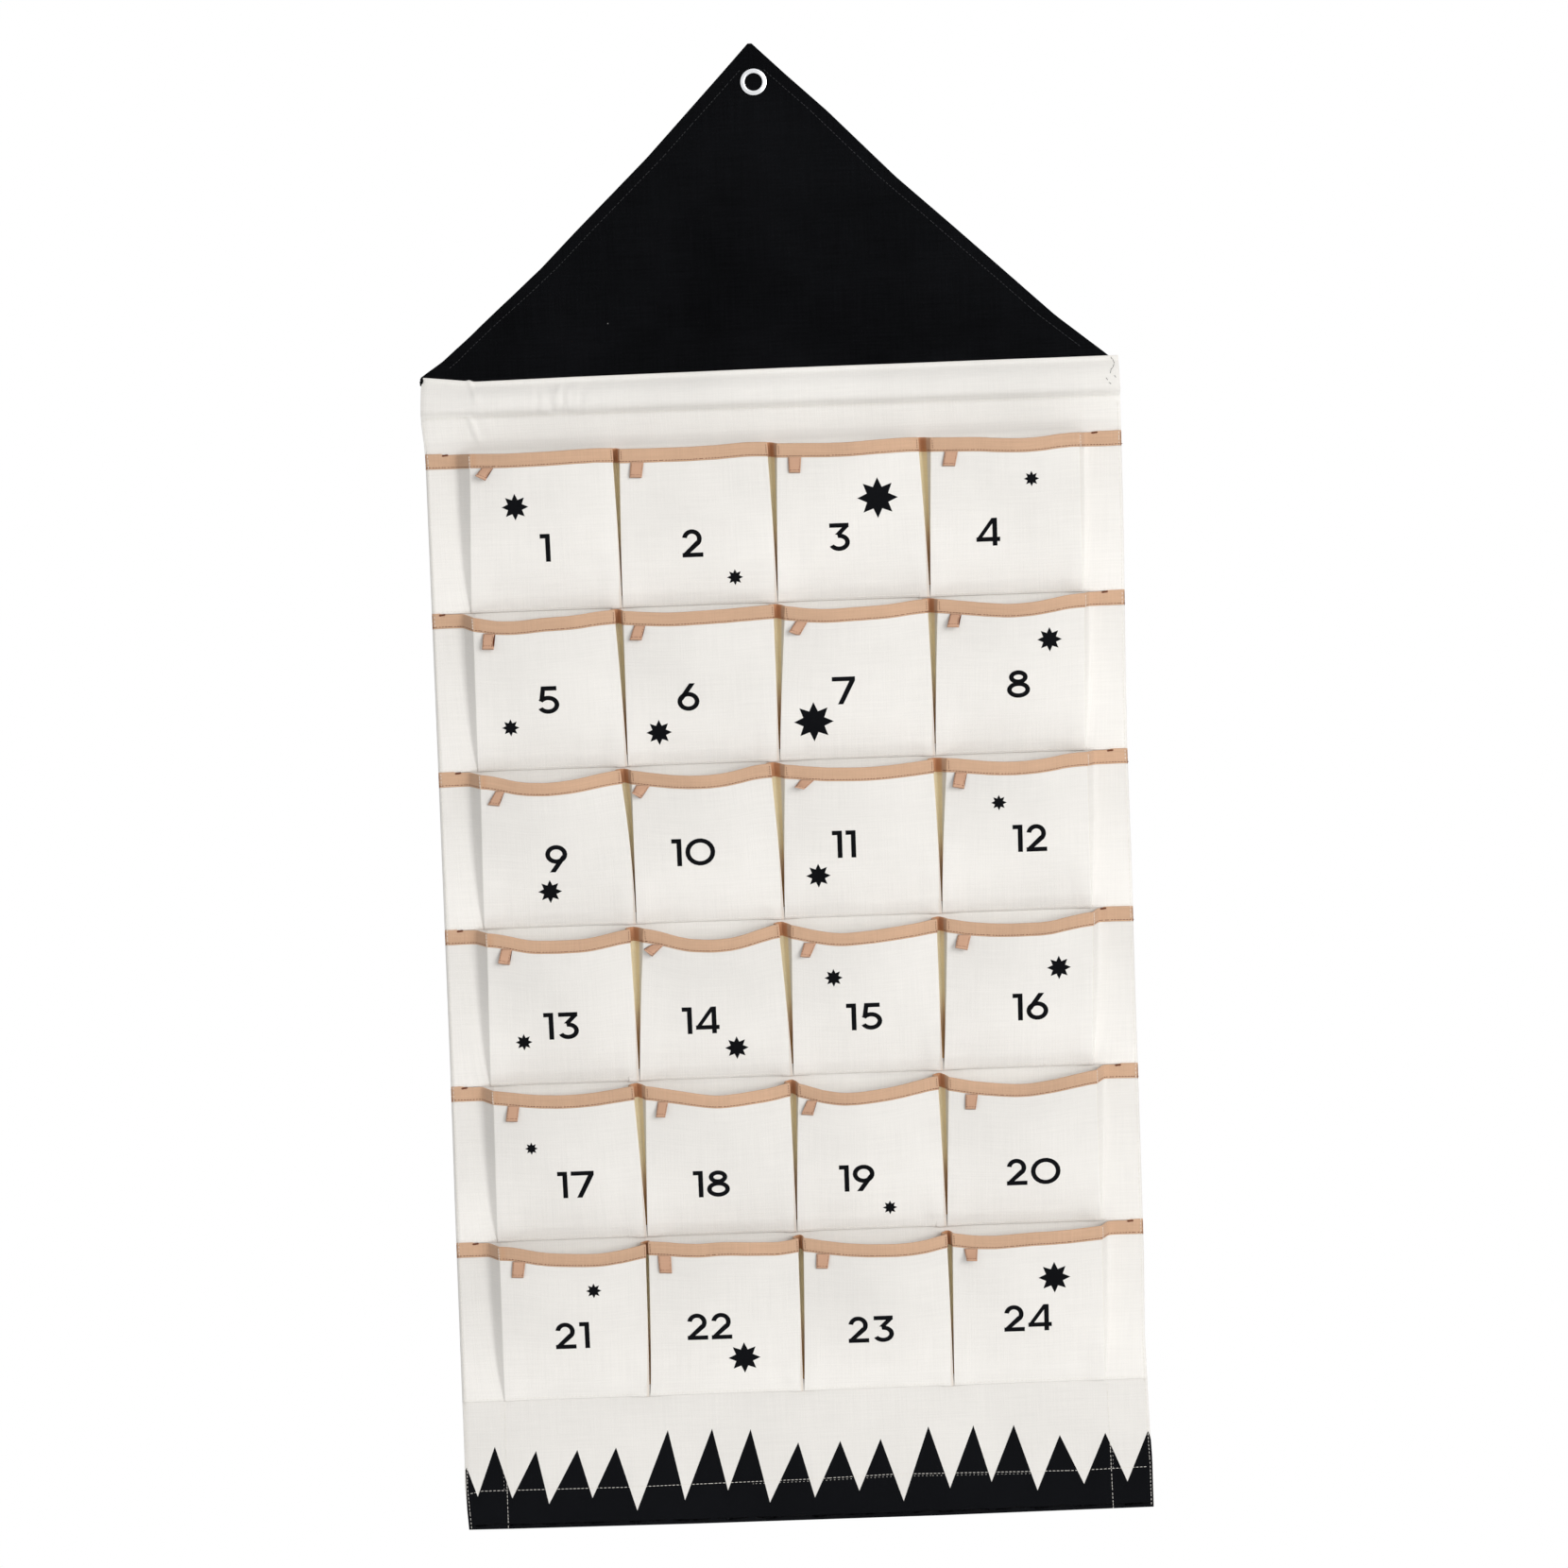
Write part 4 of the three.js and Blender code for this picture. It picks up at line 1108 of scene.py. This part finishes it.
number_places = [
    (-161.2, -326.6), (-55.5, -327.0), (49.7, -326.3), (156.8, -326.4), (-163.5, -435.8),
    (-62.6, -437.3), (49.3, -436.5), (175.0, -436.3), (-161.9, -550.4), (-63.0, -549.2),
    (45.7, -547.3), (179.7, -547.6), (-163.3, -672.0), (-62.3, -671.5), (56.0, -673.0),
    (176.4, -670.0), (-157.2, -788.2), (-58.9, -791.2), (46.7, -790.8), (175.0, -790.5),
    (-163.9, -898.6), (-64.1, -895.4), (53.2, -901.9), (167.4, -897.5),
]
star_places = [
    (-181.5, -296.7, 17.5), (-25.9, -352.5, 9.7), (78.2, -299.1, 27.8), (188.7, -289.4, 9.1),
    (-191.3, -455.1, 10.7), (-84.6, -462.3, 16.8), (27.1, -458.5, 27.3), (198.1, -404.8, 16.0),
    (-167.6, -574.5, 15.5), None, (26.5, -569.9, 16.0), (158.0, -520.9, 9.4),
    (-190.8, -683.3, 10.3), (-36.9, -692.9, 15.3), (34.8, -643.5, 11.3), (197.6, -641.8, 15.6),
    (-188.1, -760.1, 7.3), None, (70.1, -813.9, 8.6), None, (-147.0, -865.3, 9.2),
    (-39.6, -920.2, 21.8), None, (187.3, -867.5, 21.7),
]


def stroke_grid(bm, kind, shape, left, foot):
    """One stroke of a digit, as a fine strip in the plane of the digit."""
    made = bmesh.ops.create_grid(bm, x_segments=3, y_segments=8 if kind == "bar" else 22, size=1)
    for vert in made["verts"]:
        s, t = (vert.co.x + 1) / 2, (vert.co.y + 1) / 2
        if kind == "bar":
            a, b, c, d = (Vector(corner) for corner in shape)
            wide = (b - a).normalized() * spread
            tall = ((a + b) - (c + d)).normalized() * spread
            low = (c - wide - tall).lerp(d + wide - tall, s)
            spot = low.lerp((a - wide + tall).lerp(b + wide + tall, s), t)
        else:
            cx, cz, rx, rz, first, last = shape
            angle = math.radians(last + (first - last) * (1 - t if first < last else t))
            inner = Vector((rx - stroke - spread, rz - flat_stroke - spread))
            reach = inner.lerp(Vector((rx + spread, rz + spread)), s)
            spot = Vector((cx + reach.x * math.cos(angle), cz + reach.y * math.sin(angle)))
        vert.co = Vector((left + spot.x * digit_height, 0, foot + spot.y * digit_height))


def star_points(bm, x, z, span):
    """An eight-pointed star in the plane of the digits."""
    span = 0.97 * span + 2.2
    star = bmesh.ops.create_circle(bm, cap_ends=True, cap_tris=True, segments=16, radius=span / 2)
    for vert in star["verts"]:
        turn = math.atan2(vert.co.x, vert.co.y)
        is_point = round(turn / (math.pi / 8)) % 2 == 0
        scale = 1.0 if is_point or vert.co.xy.length < 0.01 else 0.57
        vert.co = Vector((x + vert.co.x * scale, 0, z + vert.co.y * scale))
    spokes = list({edge for vert in star["verts"] for edge in vert.link_edges})
    bmesh.ops.subdivide_edges(bm, edges=spokes, cuts=3 if span < 12 else 5, use_grid_fill=True)


def laid_on(tree, x, z, lift):
    """The place on a cloth's face in front of x and z, in metres, lifted off it."""
    spot, way, _, _ = tree.ray_cast(Vector((x, -60, z)) * MM, Vector((0, 1, 0)))
    if way.y > 0:
        way = -way
    return spot + way * lift * MM


for row in range(6):
    bm = bmesh.new()
    for number in range(row * 4 + 1, row * 4 + 5):
        x, z = number_places[number - 1]
        wide = [digits[letter][0] for letter in str(number)]
        left = x - (sum(wide) + digit_gap * (len(wide) - 1)) * digit_height / 2
        for letter, width in zip(str(number), wide):
            for kind, shape in digits[letter][1]:
                stroke_grid(bm, kind, shape, left, z - digit_height / 2)
            left += (width + digit_gap) * digit_height
        if star_places[number - 1]:
            star_points(bm, *star_places[number - 1])
    lie = bm.loops.layers.uv.new("cloth")
    for face in bm.faces:
        face.smooth = True
        for loop in face.loops:
            loop[lie].uv = (loop.vert.co.x * MM, loop.vert.co.z * MM)
    for vert in bm.verts:
        vert.co = laid_on(strip_trees[row], vert.co.x, vert.co.z, 0.1)
    for face in bm.faces:
        face.normal_update()
        if face.normal.y > 0:
            face.normal_flip()
    prints = finished_object(f"numbers_and_stars_{row + 1}", bm, ink)
    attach(prints, "banner")


def straight(first, last, steps):
    """Points of x and z from one place to another."""
    return list(zip(evenly(first[0], last[0], steps), evenly(first[1], last[1], steps)))


fir_line = [
    (-246.6, -999), (-245.7, -997.0), (-238.4, -1019.0), (-224.5, -982.2), (-213.2, -1020.9),
    (-194.5, -986.3), (-186.5, -1026.0), (-164.3, -986.6), (-154.6, -1022.4), (-136.0, -985.8),
    (-122.2, -1032.6), (-97.7, -974.3), (-87.0, -1026.0), (-65.3, -974.4), (-55.3, -1020.0),
    (-37.2, -975.8), (-25.0, -1029.8), (-2.7, -986.6), (8.1, -1027.2), (28.0, -986.6),
    (40.7, -1023.5), (57.5, -986.1), (72.9, -1032.1), (92.7, -978.3), (107.1, -1023.8),
    (125.6, -978.8), (137.6, -1020.5), (155.1, -979.5), (171.0, -1028.1), (188.5, -988.1),
    (205.2, -1024.6), (221.8, -987.7), (237.0, -1024.1), (253.0, -987.4), (255.6, -994),
]
fir_columns = []
for peak, dip in zip(fir_line, fir_line[1:]):
    fir_columns += straight(peak, dip, max(2, round((dip[0] - peak[0]) / 2.6)))[:-1]
fir_columns.append(fir_line[-1])
fir_rows = 24
ink_lift, fir_foot = 0.09, -1041.3


def fir_place(i, j):
    """From under the foot, along the panel's path, and then up its face to the firs' tops."""
    x, top = fir_columns[i]
    row = j
    if j > panel_front:
        z = fir_foot + (top + 1.3 - fir_foot) * (j - panel_front) / fir_rows
        k = next(n for n in range(panel_front, len(panel_path)) if panel_path[n][1] >= z)
        below, above = panel_path[k - 1][1], panel_path[k][1]
        row = k - 1 + (z - below) / (above - below)
    x, y, z = panel_spot(x, row, -ink_lift)
    return max(between(panel_left, z) - 0.02, min(between(panel_right, z) + 0.02, x)), y, z


fir_runs = panel_run[:panel_front + 1]
fir_runs += [panel_run[panel_front] + j * 2.2 for j in range(1, fir_rows + 1)]
firs = woven_sheet("fir_tops", [x for x, _ in fir_columns], fir_runs, fir_place, ink, 0.0)
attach(firs, "banner")

# ---------------------------------------------------------------- Sewing thread
# Spun thread in lockstitch: white through the canvas, brown through the tape and black through
# the roof. Each stitch lies a little into the cloth, and the same rows show on the back.


def spun_thread(name, colour):
    """Twisted cotton thread."""
    made, tree, surface = new_finish(name, Roughness=0.8, Specular_IOR_Level=0.2)
    here = node(tree, "TexCoord").outputs["Object"]
    plies = node(tree, "TexNoise", Vector=here, Scale=1800.0, Detail=2.0)
    level = node(tree, "MapRange", Value=plies, To_Min=0.72, To_Max=1.2)
    yarn_colour = node(tree, "VectorMath", colour[:3], operation="SCALE", Scale=level)
    twist = node(tree, "Bump", Strength=0.4, Distance=0.00005, Height=plies)
    plug_in(tree, surface, {"Base Color": yarn_colour, "Normal": twist})
    return made


white_thread = spun_thread("white_thread", shade(238, 234, 226))
brown_thread = spun_thread("brown_thread", shade(112, 66, 46))
black_thread = spun_thread("black_thread", shade(58, 58, 60))
one_stitch = bmesh.new()
bmesh.ops.create_uvsphere(one_stitch, u_segments=6, v_segments=4, radius=0.5)
for face in one_stitch.faces:
    face.smooth = True
stitch_mesh = bpy.data.meshes.new("stitch")
one_stitch.to_mesh(stitch_mesh)
one_stitch.free()


def sew(bm, line, pitch, length, gauge):
    """Stitches of a length and thickness, a pitch apart, along a line of places in mm."""
    start = 0.4 * (pitch - length)
    for here, there in zip(line, line[1:]):
        way = there - here
        if way.length < 1e-6:
            continue
        while start < way.length:
            middle = here + way * (min(start + length / 2, way.length) / way.length)
            lie = way.to_track_quat("Z", "Y").to_matrix().to_4x4()
            size = Matrix.Diagonal((gauge * MM, gauge * MM, length * MM, 1))
            stitch = stitch_mesh.copy()
            stitch.transform(Matrix.Translation(middle * MM) @ lie @ size)
            bm.from_mesh(stitch)
            bpy.data.meshes.remove(stitch)
            start += pitch
        start -= way.length


def line_on(trees, points, lift, back=False):
    """Points of x and z laid on the foremost of the cloths there, or on the rearmost."""
    side = 1 if back else -1
    laid = []
    for x, z in points:
        start, way = Vector((x, 60 * side, z)) * MM, Vector((0, -side, 0))
        hits = [tree.ray_cast(start, way)[0] for tree in trees]
        depths = [hit.y / MM for hit in hits if hit is not None]
        if depths:
            laid.append(Vector((x, max(depths) + lift if back else min(depths) - lift, z)))
    return laid


def across_panel(table, drop=0.0):
    """Points across the panel on the line of a table, or a little under it."""
    return [(x, between(table, x) - drop) for x in range(-244, 254, 3)]


def thread_object(name, bm, thread, body):
    made = finished_object(name, bm, thread)
    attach(made, body)


panel_tree, roof_tree = tree_of(panel), tree_of(roof)
fronts = [panel_tree] + strip_trees + tape_trees
hem_row = [
    (-246.4, -1015.6), (-235.3, -1013.4), (-128.2, -1014.3), (3.5, -1013.1), (64.9, -1011.7),
    (200.9, -1013.7), (253.5, -1012.7),
]
sleeve_row = [(-246.0, -231.7), (-206, -231.6), (211, -232.2), (254.0, -232.0)]
bm = bmesh.new()
side_levels = [-236 - 3.0 * k for k in range(269)]
for edge, inwards in ((panel_left, 1.9), (panel_right, -1.9)):
    side_line = [(between(edge, z) + inwards, z) for z in side_levels]
    sew(bm, line_on(fronts, side_line, 0.08), 2.7, 2.0, 0.42)
sew(bm, line_on([panel_tree], across_panel(hem_row), 0.14), 2.9, 2.3, 0.42)
for top, foot in (((-216.2, -949.5), (-216.9, -1041.4)), ((224.2, -949.5), (226.0, -1042.2))):
    sew(bm, line_on([panel_tree], straight(top, foot, 40), 0.14), 2.8, 2.2, 0.42)
sew(bm, line_on([panel_tree], across_panel(sleeve_row), 0.06), 2.7, 2.0, 0.4)
strip_feet = [mouth_height(row) - strip_heights[row] + 1.5 for row in range(6)]
for row in range(6):
    foot_line = [(x, strip_feet[row]) for x in range(-243, 252, 3)]
    sew(bm, line_on([strip_trees[row]], foot_line, 0.05), 2.7, 2.0, 0.4)
    top = mouth_height(row) - 0.9
    for x in (mouth_edges[row][0] - 0.7, mouth_edges[row][-1] + 0.9):
        end_tack = straight((x, top), (x + 0.2, top - 8.6), 6)
        sew(bm, line_on([tape_trees[row]], end_tack, 0.1), 2.1, 1.6, 0.62)
thread_object("front_stitches", bm, white_thread, "banner")


def sew_behind(points, pitch, length, gauge):
    sew(bm, line_on([panel_tree], points, 0.06, back=True), pitch, length, gauge)


bm = bmesh.new()
for x in (between(panel_left, -600) + 26.6, between(panel_right, -600) - 26.6):
    sew_behind(straight((x, -236), (x, -1041), 260), 2.8, 2.1, 0.42)
sew_behind(across_panel(hem_row, 1.6), 2.9, 2.2, 0.42)
sew_behind(across_panel(sleeve_row, 1.2), 2.7, 2.0, 0.4)
for row, foot in enumerate(strip_feet):
    sew_behind([(x, foot) for x in range(-243, 252, 3)], 2.8, 2.1, 0.4)
    for x in seam_crossings[row][1:4]:
        sew_behind(straight((x, mouth_height(row) - 1), (x, foot), 40), 2.8, 2.1, 0.4)
thread_object("back_stitches", bm, white_thread, "banner")

bm = bmesh.new()
for row in range(6):
    mouth = mouth_height(row)

    def tack(first, last, steps, lift, *stitch):
        sew(bm, line_on([tape_trees[row]], straight(first, last, steps), lift), *stitch)

    run = []
    for spot, seen in tape_stitch_lines[row] + [(None, False)]:
        if seen:
            run.append(spot + Vector((0, -0.2, 0)))
        elif run:
            sew(bm, run, 2.2, 1.4, 0.55)
            run = []
    for pocket in (0, 1, 2):
        near, far = mouth_edges[row][2 * pocket + 1: 2 * pocket + 3]
        for x, low in (
            (near - 0.9, mouth_drop(row, pocket, 1)), (far + 0.9, mouth_drop(row, pocket + 1, 0))
        ):
            top = mouth - low - 0.8
            tack((x, top), (x + 0.2, top - 8.4), 6, 0.1, 1.7, 1.1, 0.5)
    for x in tape_turns[row]:
        tack((x - 1.2, mouth + 0.1), (x + 2.0, mouth + 0.4), 3, 0.1, 1.2, 2.2, 1.5)
    for x in (between(panel_left, mouth) + 0.45, between(panel_right, mouth) - 0.5):
        tack((x, mouth + 0.3), (x, mouth - 9.1), 8, 0.06, 1.5, 1.6, 0.42)
thread_object("tape_stitches", bm, brown_thread, "banner")

for number, leaves in enumerate(loop_leaves, 1):
    bm = bmesh.new()
    for leaf in leaves:
        sew(bm, [spot + Vector((0, -0.04, 0)) for spot in leaf], 1.9, 1.3, 0.34)
    thread_object(f"loop_stitches_{number:02d}", bm, brown_thread, f"tab_{number:02d}")

bm = bmesh.new()
for ends in (
    [(249.2, -204.4), (249.9, -205.6)],
    [(250.6, -206.2), (251.4, -208.6), (250.6, -211.2), (248.8, -213.4), (248.2, -215.8)],
    [(250.9, -217.6), (251.7, -218.9)], [(244.9, -219.2), (245.9, -220.6)],
    [(246.9, -222.6), (247.9, -223.4)],
):
    places = [point for a, b in zip(ends, ends[1:]) for point in straight(a, b, 2)]
    sew(bm, line_on([panel_tree], places, 0.12), 1.0, 1.25, 0.42)
thread_object("thread_ends", bm, black_thread, "banner")

bm = bmesh.new()
for inwards, edge in ((11.5, roof_left), (-11.5, roof_right)):
    slope = [(between(edge, z) + inwards, z) for z in range(-196, 9, 3)]
    for back in (False, True):
        sew(bm, line_on([roof_tree], slope, 0.05, back), 2.9, 2.1, 0.42)
thread_object("roof_stitches", bm, black_thread, "roof")
